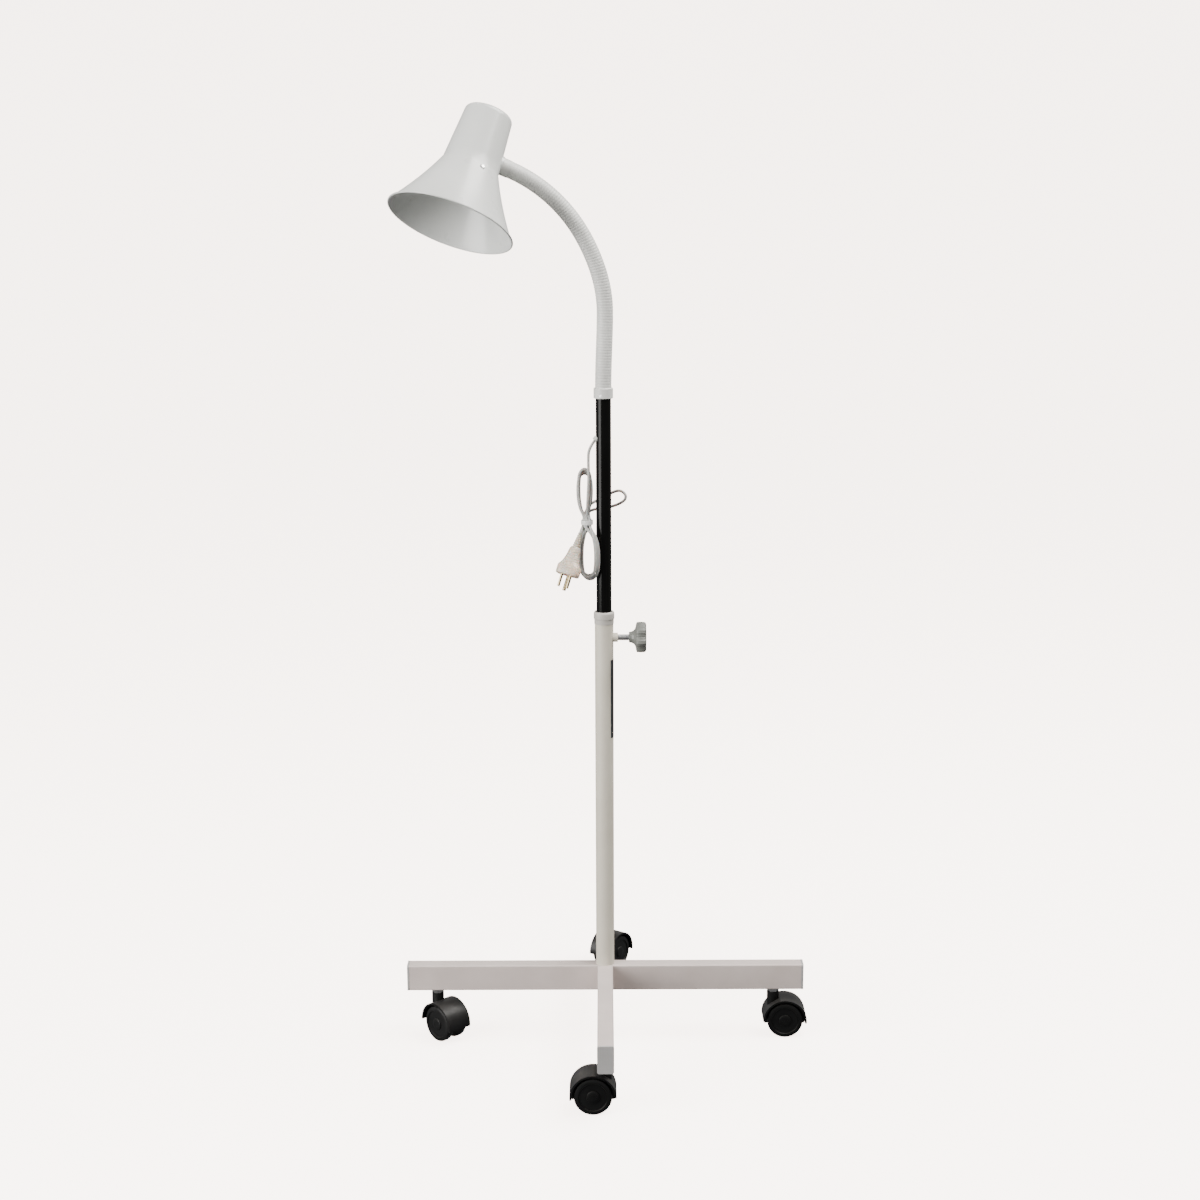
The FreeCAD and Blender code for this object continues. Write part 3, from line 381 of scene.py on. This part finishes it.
camera_data = bpy.data.cameras.new("Camera")
camera_data.lens = CAMERA_LENS
camera_data.sensor_width = 36.0
camera_data.shift_x = CAMERA_SHIFT
camera = bpy.data.objects.new("Camera", camera_data)
bpy.context.scene.collection.objects.link(camera)
tilt = Matrix.Rotation(math.pi / 2 - CAMERA_DOWN, 4, "X")
camera.matrix_world = at(0, -CAMERA_BACK, CAMERA_HEIGHT) @ tilt @ Matrix.Rotation(CAMERA_ROLL, 4, "Z")
bpy.context.scene.camera = camera


# ---- cord ----

CORD_DIA = 0.0038
GROMMET_MOUTH = (-11.45, -3.28, 848.08)
CORD_LEAD = [
    (-19.7, -5.7, 837.7),
    (-20.4, -6.6, 821.0),
    (-19.8, -8.2, 802.0),
    (-20.6, -9.0, 783.0),
    (-21.6, -8.2, 765.0),
    (-22.4, -5.0, 750.0),
]
CORD_BACK_LOOP = [
    (-21.0, -0.5, 751.5),
    (-13.0, 13.0, 752.5),
    (-1.0, 18.5, 753.5),
    (11.5, 17.8, 755.5),
    (22.0, 14.8, 760.0),
    (29.5, 12.2, 765.5),
    (30.0, 12.4, 773.0),
    (22.0, 15.2, 778.5),
    (11.0, 18.4, 774.5),
    (-1.5, 19.6, 767.5),
    (-13.5, 14.6, 762.0),
    (-20.5, 0.5, 760.0),
]
PLUG_REAR = Vector((-37.4, -20.8, 707.0))
PLUG_WAY = Vector((-0.30, -0.30, -0.905)).normalized()
PLUG_ACROSS = Vector((0.95, -0.31, 0.0))
RELIEF_LONG = 20.0
RELIEF_APPROACH = 4.0
RELIEF_GRIP = 2.0

# the wound cord, in millimetres: each pass through the tied waist, then the shapes of its loops
WAIST = Vector((-22.5, -5.5, 738.0))
WAIST_RING = 5.0
WAIST_REACH = 5.0
PASS_TURNS = [None, 0, 45, 135, 225, 270, 315, 90, 180]
LOWER_CENTRE = Vector((-20.5, -13.5, 0.0))
LOWER_ACROSS = Vector((0.930, -0.3665, 0.0))
LOWER_OUTLINE = [
    (0.60, 722),
    (0.92, 708),
    (1.00, 694),
    (0.98, 680),
    (0.80, 668),
    (0.30, 661),
    (-0.30, 661),
    (-0.80, 668),
    (-0.98, 680),
    (-1.00, 694),
    (-0.92, 708),
    (-0.60, 722),
]
LOWER_LOOPS = [(13.4, 3.6, 1.0), (12.2, -3.4, 0.95), (9.6, 0.8, 0.98), (12.8, -0.4, 0.92)]
UPPER_CENTRE = Vector((-25.5, -1.5, 0.0))
UPPER_ACROSS = Vector((1.0, 0.0, 0.0))
UPPER_OUTLINE = [
    (-0.50, 752),
    (-0.90, 766),
    (-1.02, 780),
    (-1.00, 793),
    (-0.85, 804),
    (-0.30, 810),
    (0.30, 810),
    (0.85, 804),
    (1.00, 793),
    (1.02, 780),
    (0.90, 766),
    (0.50, 752),
]
UPPER_LOOPS = [(8.4, -3.6, 1.0), (7.2, 0.4, 0.96), (9.2, 4.2, 0.9)]


def waist_pass(number, downward):
    """Two points that lead one strand straight through the tie."""
    turn = PASS_TURNS[number]
    spot = WAIST.copy()
    if turn is not None:
        spot += Vector((math.cos(math.radians(turn)), math.sin(math.radians(turn)), 0)) * WAIST_RING
    ends = [spot + UP * WAIST_REACH, spot - UP * WAIST_REACH]
    return ends if downward else ends[::-1]


def loop_points(outline, centre, across, loop):
    """One loop of the wound cord, at its half width and depth, drawn in towards the tie."""
    half_wide, depth, shortening = loop
    deep = UP.cross(across)
    points = []
    for share, height in outline:
        z = WAIST.z + (height - WAIST.z) * shortening
        points.append(centre + across * (share * half_wide) + deep * depth + UP * z)
    return points


def cord_route():
    """The cord's line: to the tie, wound through two lobes, round the mast and back to the plug."""
    route = [Vector(GROMMET_MOUTH)] + [Vector(point) for point in CORD_LEAD]
    number = 0
    for k, lower in enumerate(LOWER_LOOPS):
        route += waist_pass(number, True)
        route += loop_points(LOWER_OUTLINE, LOWER_CENTRE, LOWER_ACROSS, lower)
        route += waist_pass(number + 1, False)
        number += 2
        if k < len(UPPER_LOOPS):
            route += loop_points(UPPER_OUTLINE, UPPER_CENTRE, UPPER_ACROSS, UPPER_LOOPS[k])
    route += [Vector(point) for point in CORD_BACK_LOOP]
    route += waist_pass(number, True)
    relief_top = PLUG_REAR - PLUG_WAY * RELIEF_LONG
    route += [relief_top - PLUG_WAY * RELIEF_APPROACH, relief_top + PLUG_WAY * RELIEF_GRIP]
    return [point * MM for point in route]


cord_data = bpy.data.curves.new("mains_cord", "CURVE")
cord_data.dimensions = "3D"
spline = cord_data.splines.new("NURBS")
cord_points = cord_route()
spline.points.add(len(cord_points) - 1)
for point, spot in zip(spline.points, cord_points):
    point.co = (*spot, 1.0)
spline.order_u = 3
spline.use_endpoint_u = True
spline.resolution_u = 10
cord_data.bevel_depth = CORD_DIA / 2
cord_data.bevel_resolution = 5
cord_data.use_fill_caps = True
cord_data.materials.append(MATERIALS["cord_pvc"])
mains_cord = bpy.data.objects.new("mains_cord", cord_data)
bpy.context.scene.collection.objects.link(mains_cord)
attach(mains_cord, "mast")
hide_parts("cord_lead", "cord_back_loop", "cord_hank")

TIE_INNER = 0.0070
TIE_WALL = 0.0011
TIE_TALL = 0.0060
tie_low = -TIE_TALL / 2
tie_profile = rounded(
    [
        (TIE_INNER, 0.0),
        (TIE_INNER, tie_low),
        (TIE_INNER + TIE_WALL, tie_low),
        (TIE_INNER + TIE_WALL, -tie_low),
        (TIE_INNER, -tie_low),
        (TIE_INNER, 0.0005),
    ],
    0.0004,
)
tie = piece("cord_tie_band", *turned(tie_profile, 64, loop=True), "tie_plastic", at(*(WAIST * MM)))
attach(tie, "mast")
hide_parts("cord_tie")


# ---- plug ----

plug_place = at(*(PLUG_REAR * MM)) @ facing(PLUG_WAY, PLUG_ACROSS)
# height, half width, half depth and squareness of each section of the moulded body, in millimetres
PLUG_SECTIONS = [
    (0.0, 5.2, 5.0, 2.0),
    (0.8, 6.4, 6.2, 2.0),
    (3.0, 7.4, 7.0, 2.1),
    (8.0, 8.4, 7.6, 2.2),
    (14.0, 9.6, 8.2, 2.4),
    (20.0, 11.4, 8.8, 2.6),
    (24.5, 13.4, 9.6, 2.8),
    (26.5, 15.0, 10.6, 3.0),
    (28.5, 16.0, 10.9, 3.2),
    (34.0, 16.0, 11.0, 3.2),
    (38.5, 15.8, 10.9, 3.2),
    (39.6, 15.2, 10.4, 3.2),
    (40.0, 14.2, 9.4, 3.2),
]
PLUG_GRIPS = 5
GRIP_FROM = 8.0
GRIP_TO = 23.0
GRIP_DEPTH = 0.35
GRIP_ROWS_PER_MM = 2


def oval(half_wide, half_deep, squareness, height, steps=72):
    ring = []
    for k in range(steps):
        turn = math.tau * k / steps
        c, s = math.cos(turn), math.sin(turn)
        x = math.copysign(abs(c) ** (2 / squareness), c) * half_wide
        y = math.copysign(abs(s) ** (2 / squareness), s) * half_deep
        ring.append((x * MM, y * MM, height * MM))
    return ring


def plug_rings():
    """The moulded body's sections, with shallow grip ribs behind the nose."""
    heights = [section[0] for section in PLUG_SECTIONS]
    grip_rows = int((GRIP_TO - GRIP_FROM) * GRIP_ROWS_PER_MM) + 1
    rows = sorted(set(heights) | {GRIP_FROM + k / GRIP_ROWS_PER_MM for k in range(grip_rows)})
    rings = []
    for height in rows:
        wide, deep, square = (np.interp(height, heights, [s[c] for s in PLUG_SECTIONS]) for c in (1, 2, 3))
        if GRIP_FROM < height < GRIP_TO:
            wave = math.tau * PLUG_GRIPS * (height - GRIP_FROM) / (GRIP_TO - GRIP_FROM)
            groove = GRIP_DEPTH * (0.5 - 0.5 * math.cos(wave))
            wide -= groove
            deep -= groove
        rings.append(oval(wide, deep, square, height))
    return rings


plug_body = piece("plug_moulding", *skin(plug_rings()), "plug_pvc", plug_place, crease=50)
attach(plug_body, "mast")
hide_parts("plug_body")

RELIEF_RIBS = 6
RELIEF_THIN = 2.6
RELIEF_SWELL = 2.2
RELIEF_FOOT = (4.6, 0.4)
# share of a rib's length, and how far in from the rib's top
RELIEF_RIB_SHAPE = [(0.05, 0.5), (0.15, 0.0), (0.6, 0.0), (0.72, 0.5), (0.95, 0.6)]
rib_long = RELIEF_LONG / RELIEF_RIBS
relief_profile = [(CORD_DIA / 2, -RELIEF_LONG * MM)]
for rib in range(RELIEF_RIBS):
    low = -RELIEF_LONG + RELIEF_LONG * rib / RELIEF_RIBS
    wide = RELIEF_THIN + RELIEF_SWELL * rib / (RELIEF_RIBS - 1)
    for share, inset in RELIEF_RIB_SHAPE:
        relief_profile.append(((wide - inset) * MM, (low + rib_long * share) * MM))
relief_profile.append((RELIEF_FOOT[0] * MM, RELIEF_FOOT[1] * MM))
relief = piece("plug_relief_ribs", *turned(relief_profile, 48), "plug_pvc", plug_place, crease=50)
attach(relief, "mast")
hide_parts("plug_strain_relief")


# ---- gooseneck ----

NECK_RADIUS = 0.011
NECK_RISE = 0.099
NECK_BEND_RADIUS = 0.200
NECK_BEND = math.radians(67.0)
NECK_YAW = math.radians(10.0)
NECK_BOW = 0.0025
NECK_BOW_LONG = 0.200
RIB_PITCH = 0.0037
RIB_DEPTH = 0.0005
RIB_ROWS = 8
RIB_COLUMNS = 48
neck_base = Vector((0, 0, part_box("neck_ferrule")[1][2]))
neck_lean = Vector((-math.cos(NECK_YAW), -math.sin(NECK_YAW), 0))
neck_side = UP.cross(neck_lean)
neck_long = NECK_RISE + NECK_BEND_RADIUS * NECK_BEND


def neck_point(along):
    """The point and the outward direction on the gooseneck's centreline."""
    turn = min(max(0.0, along - NECK_RISE), NECK_BEND_RADIUS * NECK_BEND) / NECK_BEND_RADIUS
    outward = UP * math.sin(turn) - neck_lean * math.cos(turn)
    tangent = UP * math.cos(turn) + neck_lean * math.sin(turn)
    spot = neck_base + UP * min(along, NECK_RISE)
    if along > NECK_RISE:
        spot += neck_lean * NECK_BEND_RADIUS + outward * NECK_BEND_RADIUS
        spot += tangent * max(0.0, along - neck_long)
    if 0 < along < NECK_BOW_LONG:
        spot += outward * NECK_BOW * math.sin(math.pi * along / NECK_BOW_LONG) ** 2
    return spot, outward


def neck_skin(start, end):
    """A stretch of hose wound from one round wire, so that its ribs climb like a thread."""
    rows = round((end - start) / RIB_PITCH * RIB_ROWS)
    rings = []
    for row in range(rows + 1):
        along = start + (end - start) * row / rows
        spot, outward = neck_point(along)
        ring = []
        for k in range(RIB_COLUMNS):
            share = k / RIB_COLUMNS
            rib = (along / RIB_PITCH - share) % 1.0 * 2 - 1
            radius = NECK_RADIUS - RIB_DEPTH * (1 - math.sqrt(1 - 0.98 * rib * rib))
            turn = math.tau * share
            ring.append(spot + (outward * math.cos(turn) + neck_side * math.sin(turn)) * radius)
        rings.append(ring)
    return skin(rings, closed_ends=False)


BEND_REACH = 0.034
HOSE_IN_FERRULE = 0.008
FIRST_JOINT_AT = 0.014
bend_part = NECK_BEND_RADIUS * NECK_BEND / 3
neck_joints_at = [FIRST_JOINT_AT, NECK_RISE, NECK_RISE + bend_part, NECK_RISE + 2 * bend_part, neck_long]
neck_nodes = ["neck_root"] + [f"neck_segment_{number}" for number in range(1, 5)]
neck_ends = [0.0]
neck_ends += [(a + b) / 2 for a, b in zip(neck_joints_at, neck_joints_at[1:])]
neck_ends.append(neck_long + HOSE_IN_FERRULE)
for number, joint_at in enumerate(neck_joints_at):
    low, high = neck_ends[number], neck_ends[number + 1]
    hose = piece(f"gooseneck_hose_{number + 1}", *neck_skin(low, high), "gooseneck", crease=80)
    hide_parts(neck_nodes[number])
    reach = min(BEND_REACH, joint_at - low, high - joint_at)
    bend_start = neck_point(joint_at - reach)[0]
    bend_end = neck_point(joint_at + reach)[0]
    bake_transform(hose)


# ---- shade ----

SHADE_MOUTH = Vector((-0.19443, -0.06535, 1.13319))
SHADE_BACK = Vector((0.31230, 0.36885, 0.87545))
MOUTH_RADIUS = 83.5
KNEE_RADIUS = 37.5
KNEE_AT = 82.0
BACK_RADIUS = 32.0
SHADE_LONG = 159.0
SHADE_WALL = 1.0
SHADE_HOLLOW = 2.8
BACK_ROUND = 7.0
RIM_RADIUS = 1.3
RIM_FROM = 215
RIM_TURN = 290
RIM_STEPS = 16
FLARE_STEPS = 14
BACK_STEPS = 6
CROWN_STEPS = 8
CROWN_FLAT = 12.0
CROWN_HUB = 0.05


def shade_side(inset):
    """The shade's side view from mouth to crown, moved in by inset, in millimetres."""
    side = []
    for step in range(FLARE_STEPS + 1):
        share = step / FLARE_STEPS
        radius = MOUTH_RADIUS + (KNEE_RADIUS - MOUTH_RADIUS) * share - SHADE_HOLLOW * 4 * share * (1 - share)
        side.append((radius - inset, KNEE_AT * share))
    wall_top = SHADE_LONG - BACK_ROUND
    for step in range(1, BACK_STEPS + 1):
        share = step / BACK_STEPS
        radius = KNEE_RADIUS + (BACK_RADIUS - KNEE_RADIUS) * share
        side.append((radius - inset, KNEE_AT + (wall_top - KNEE_AT) * share))
    for step in range(1, CROWN_STEPS + 1):
        turn = math.pi / 2 * step / CROWN_STEPS
        round_radius = BACK_ROUND - inset
        radius = BACK_RADIUS - BACK_ROUND + round_radius * math.cos(turn)
        side.append((radius, wall_top + round_radius * math.sin(turn)))
    side.append((CROWN_FLAT, SHADE_LONG - inset))
    side.append((CROWN_HUB, SHADE_LONG - inset))
    return side


rim_centre = (MOUTH_RADIUS - SHADE_WALL / 2, RIM_RADIUS)
rim_roll = []
for step in range(RIM_STEPS + 1):
    turn = math.radians(RIM_FROM + RIM_TURN * step / RIM_STEPS)
    rim_out = rim_centre[0] + RIM_RADIUS * math.cos(turn)
    rim_roll.append((rim_out, rim_centre[1] + RIM_RADIUS * math.sin(turn)))
outer_side = [point for point in shade_side(0.0) if point[1] > 2 * RIM_RADIUS]
inner_side = [point for point in shade_side(SHADE_WALL) if point[1] > 2 * RIM_RADIUS]
shade_profile = [(r * MM, z * MM) for r, z in inner_side[::-1] + rim_roll + outer_side]
shade_place = at(*SHADE_MOUTH) @ facing(SHADE_BACK)
shade = piece("lamp_shade", *turned(shade_profile, 160, loop=True), "shade_enamel", shade_place, crease=35)
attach(shade, "head")
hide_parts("shade")

SADDLE_RADIUS = 0.0124
SADDLE_HOLE = 0.0052
SADDLE_STEPS = 72
SADDLE_SINK = 0.0004
SADDLE_ROUND = 0.0008
SADDLE_GAP = 0.0002
SADDLE_EASE = 0.0003
FERRULE_END = 0.01056
REACH_LIMIT = 0.03
REACH_HALVINGS = 30
tip_spot, tip_outward = neck_point(neck_long)
tip_way = tip_outward.cross(neck_side).normalized()
if tip_way.dot(SHADE_MOUTH - tip_spot) < 0:
    tip_way = -tip_way


def shade_radius(height):
    """The shade's outer radius above its knee, in metres."""
    share = (height / MM - KNEE_AT) / (SHADE_LONG - BACK_ROUND - KNEE_AT)
    return (KNEE_RADIUS + (BACK_RADIUS - KNEE_RADIUS) * share) * MM


def reach_shade(spot):
    """How far along the neck's end the shade's skin lies from a point."""
    near, far = 0.0, REACH_LIMIT
    for _ in range(REACH_HALVINGS):
        middle = (near + far) / 2
        local = shade_place.inverted() @ (spot + tip_way * middle)
        outside = math.hypot(local.x, local.y) > shade_radius(local.z)
        near, far = (middle, far) if outside else (near, middle)
    return near


def saddle_ring(radius, start, on_shade):
    ring = []
    for k in range(SADDLE_STEPS):
        turn = math.tau * k / SADDLE_STEPS
        spot = tip_spot + (tip_outward * math.cos(turn) + neck_side * math.sin(turn)) * radius
        spot += tip_way * (FERRULE_END + start)
        ring.append(spot + tip_way * (reach_shade(spot) + SADDLE_SINK) if on_shade else spot)
    return ring


saddle_rings = [
    saddle_ring(SADDLE_HOLE, SADDLE_GAP, False),
    saddle_ring(SADDLE_RADIUS - SADDLE_ROUND, SADDLE_GAP, False),
    saddle_ring(SADDLE_RADIUS, SADDLE_EASE, False),
    saddle_ring(SADDLE_RADIUS, 0.0, True),
    saddle_ring(SADDLE_HOLE, 0.0, True),
]
saddle = piece("shade_saddle", *skin(saddle_rings, closed_ends=False, loop=True), "shade_enamel", crease=35)
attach(saddle, "head")


# ---- guide collar ----

COLLAR_TALL = 0.0170
COLLAR_LIP = 0.0008
LIP_FOOT = 0.0105
LIP_FULL = 0.0100
COLLAR_EDGE_DROP = 0.0020
COLLAR_EDGE_IN = 0.0012
COLLAR_BORE_RISE = 0.004
LOWER_TUBE_GAP = 0.0002
UPPER_TUBE_GAP = 0.0003
COLLAR_MOUTH_GAP = 0.0006
COLLAR_MOUTH_DROP = 0.0015
COLLAR_LEDGE_DROP = 0.0034
COLLAR_ROUND = 0.0003
collar_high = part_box("guide_collar")[1]
collar_out = collar_high[0]
collar_top = collar_high[2]
collar_foot = collar_top - COLLAR_TALL
tube_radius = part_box("mast_tube_lower")[1][0]
mast_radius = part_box("mast_tube_upper")[1][0]
collar_profile = rounded(
    [
        (tube_radius + LOWER_TUBE_GAP, collar_foot + COLLAR_BORE_RISE),
        (tube_radius + LOWER_TUBE_GAP, collar_foot),
        (collar_out - COLLAR_LIP, collar_foot),
        (collar_out - COLLAR_LIP, collar_top - LIP_FOOT),
        (collar_out, collar_top - LIP_FULL),
        (collar_out, collar_top - COLLAR_EDGE_DROP),
        (collar_out - COLLAR_EDGE_IN, collar_top),
        (mast_radius + COLLAR_MOUTH_GAP, collar_top),
        (mast_radius + UPPER_TUBE_GAP, collar_top - COLLAR_MOUTH_DROP),
        (mast_radius + UPPER_TUBE_GAP, collar_top - COLLAR_LEDGE_DROP),
    ],
    COLLAR_ROUND,
)
collar = piece("collar_moulding", *turned(collar_profile, 96, loop=True), "ivory_plastic", crease=35)
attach(collar, "base")
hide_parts("guide_collar")


# ---- mast tube ----

UPPER_WALL = 0.0015
TUBE_EDGE = 0.0003
TUBE_SIDES = 144
tube_low, tube_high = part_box("mast_tube_upper")
tube_out = tube_high[0]
tube_profile = [
    (tube_out - UPPER_WALL, tube_low[2]),
    (tube_out - TUBE_EDGE, tube_low[2]),
    (tube_out, tube_low[2] + TUBE_EDGE),
    (tube_out, tube_high[2] - TUBE_EDGE),
    (tube_out - TUBE_EDGE, tube_high[2]),
    (tube_out - UPPER_WALL, tube_high[2]),
]
upper_tube = piece("upper_tube", *turned(tube_profile, TUBE_SIDES, loop=True), "black_paint", crease=35)
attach(upper_tube, "mast")
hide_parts("mast_tube_upper")


# ---- clamp knob ----

KNOB_LOBES = 7
KNOB_RIBS = 5
KNOB_STEPS = 280
LOBE_DEPTH = 3.0
RIB_RIPPLE = 0.22
# height from the back of the hub, radius and share of the lobes' depth, in millimetres
KNOB_PROFILE = [
    (0.0, 6.4, 0.0),
    (0.4, 7.3, 0.0),
    (3.0, 7.6, 0.0),
    (6.0, 9.0, 0.05),
    (8.0, 11.2, 0.15),
    (9.0, 14.2, 0.4),
    (9.5, 17.6, 0.8),
    (10.2, 19.9, 1.0),
    (11.4, 20.9, 1.0),
    (16.0, 21.2, 1.0),
    (20.8, 20.9, 1.0),
    (22.4, 20.2, 1.0),
    (23.3, 18.9, 0.95),
    (23.7, 17.2, 0.8),
    (23.2, 15.2, 0.5),
    (22.6, 12.0, 0.2),
    (22.4, 8.0, 0.0),
    (22.5, 3.0, 0.0),
]


def knob_rings():
    rings = []
    for height, radius, lobes in KNOB_PROFILE:
        ring = []
        for k in range(KNOB_STEPS):
            turn = math.tau * k / KNOB_STEPS
            valley = 0.5 - 0.5 * math.cos(KNOB_LOBES * turn)
            ripple = RIB_RIPPLE * lobes * math.cos(KNOB_LOBES * KNOB_RIBS * turn)
            reach = (radius - lobes * LOBE_DEPTH * valley + ripple) * MM
            ring.append((reach * math.cos(turn), reach * math.sin(turn), height * MM))
        rings.append(ring)
    return rings


knob_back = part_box("clamp_knob")[0][0]
knob_centre = middle_of("clamp_knob")
knob_place = at(knob_back, knob_centre.y, knob_centre.z) @ facing((1, 0, 0), (0, 0, 1))
knob = piece("lobed_knob", *skin(knob_rings()), "knob_plastic", knob_place, crease=50)
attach(knob, "clamp_screw")
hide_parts("clamp_knob")


# ---- caster wheels ----

# radius and distance from the outer face of one side of the wheel's section, in millimetres
WHEEL_SIDE = [
    (4.06, 0.0),
    (7.6, 0.0),
    (8.2, 0.3),
    (8.6, 1.6),
    (18.6, 1.6),
    (19.2, 0.4),
    (22.6, 0.4),
    (24.3, 1.1),
    (25.0, 2.8),
]
WHEEL_THICK = 12.0
wheel_profile = WHEEL_SIDE + [(radius, WHEEL_THICK - inset) for radius, inset in WHEEL_SIDE[::-1]]
wheel_profile = [(radius * MM, (inset - WHEEL_THICK / 2) * MM) for radius, inset in wheel_profile]
for joint in frame["joints"]:
    for node in frame["record"]["behaviour"]["bodies"][joint["child"]]:
        if node.startswith("caster_wheel"):
            wheel_place = at(*middle_of(node)) @ facing(joint["axis"], UP)
            wheel_mesh = turned(wheel_profile, loop=True)
            wheel = piece(f"{node}_tyre", *wheel_mesh, "black_plastic", wheel_place, crease=35)
            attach(wheel, joint["child"])
            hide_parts(node)


# ---- floor and light ----

FLOOR_STEPS = 96
FLOOR_MIDDLE = 0.01
FLOOR_RADIUS = 9.0
FLOOR_WALL_TOP = 7.0
FLOOR_SWEEP = 3.0
FLOOR_SWEEP_STEPS = 24
floor_line = [(FLOOR_MIDDLE, 0.0), (FLOOR_RADIUS, 0.0), (FLOOR_RADIUS, FLOOR_WALL_TOP)]
floor_tone = bpy.data.materials.new("StudioPaper")
floor_tone.use_nodes = True
paper = floor_tone.node_tree.nodes["Principled BSDF"]
paper.inputs["Base Color"].default_value = (0.86, 0.835, 0.81, 1)
paper.inputs["Roughness"].default_value = 0.9
paper.inputs["Specular IOR Level"].default_value = 0.1
paper.inputs["Emission Color"].default_value = (1.0, 0.88, 0.80, 1)
paper.inputs["Emission Strength"].default_value = 5.6
# the middle keeps its cap and the open top loses its own
floor_verts, floor_faces = turned(rounded(floor_line, FLOOR_SWEEP, FLOOR_SWEEP_STEPS), FLOOR_STEPS)
floor_mesh = bpy.data.meshes.new("studio_floor")
floor_mesh.from_pydata(floor_verts, [], floor_faces[:-FLOOR_STEPS])
floor_mesh.shade_smooth()
floor_mesh.materials.append(floor_tone)
studio_floor = bpy.data.objects.new("studio_floor", floor_mesh)
bpy.context.scene.collection.objects.link(studio_floor)
studio_floor.visible_diffuse = False
studio_floor.visible_glossy = False

SKY_LOW = (0.14, 0.14, 0.142)
SKY_HIGH = (0.62, 0.61, 0.595)
world = bpy.data.worlds.new("Studio")
world.use_nodes = True
sky = world.node_tree
sky_way = sky.nodes.new("ShaderNodeTexCoord").outputs["Generated"]
sky_split = sky.nodes.new("ShaderNodeSeparateXYZ")
sky.links.new(sky_way, sky_split.inputs["Vector"])
sky_height = add_node(sky, "ShaderNodeMapRange", From_Min=-1.0, From_Max=1.0)
sky.links.new(sky_split.outputs["Z"], sky_height.inputs["Value"])
sky_colour = ramp(sky, sky_height.outputs["Result"], SKY_LOW, SKY_HIGH, 0.25, 0.75)
sky.links.new(sky_colour, sky.nodes["Background"].inputs["Color"])
bpy.context.scene.world = world


def softbox(name, spot, target, wide, tall, power, tint):
    data = bpy.data.lights.new(name, "AREA")
    data.shape = "RECTANGLE"
    data.size = wide
    data.size_y = tall
    data.energy = power
    data.color = tint
    light = bpy.data.objects.new(name, data)
    bpy.context.scene.collection.objects.link(light)
    aim = (Vector(target) - Vector(spot)).to_track_quat("-Z", "Y")
    light.matrix_world = at(*spot) @ aim.to_matrix().to_4x4()


softbox("left_box", (-2.4, -1.5, 1.25), (0, 0, 1.0), 2.0, 2.4, 170, (1.0, 0.985, 0.965))
softbox("top_box", (1.4, -0.2, 3.0), (0, 0, 0.8), 1.8, 1.8, 180, (1.0, 0.98, 0.95))
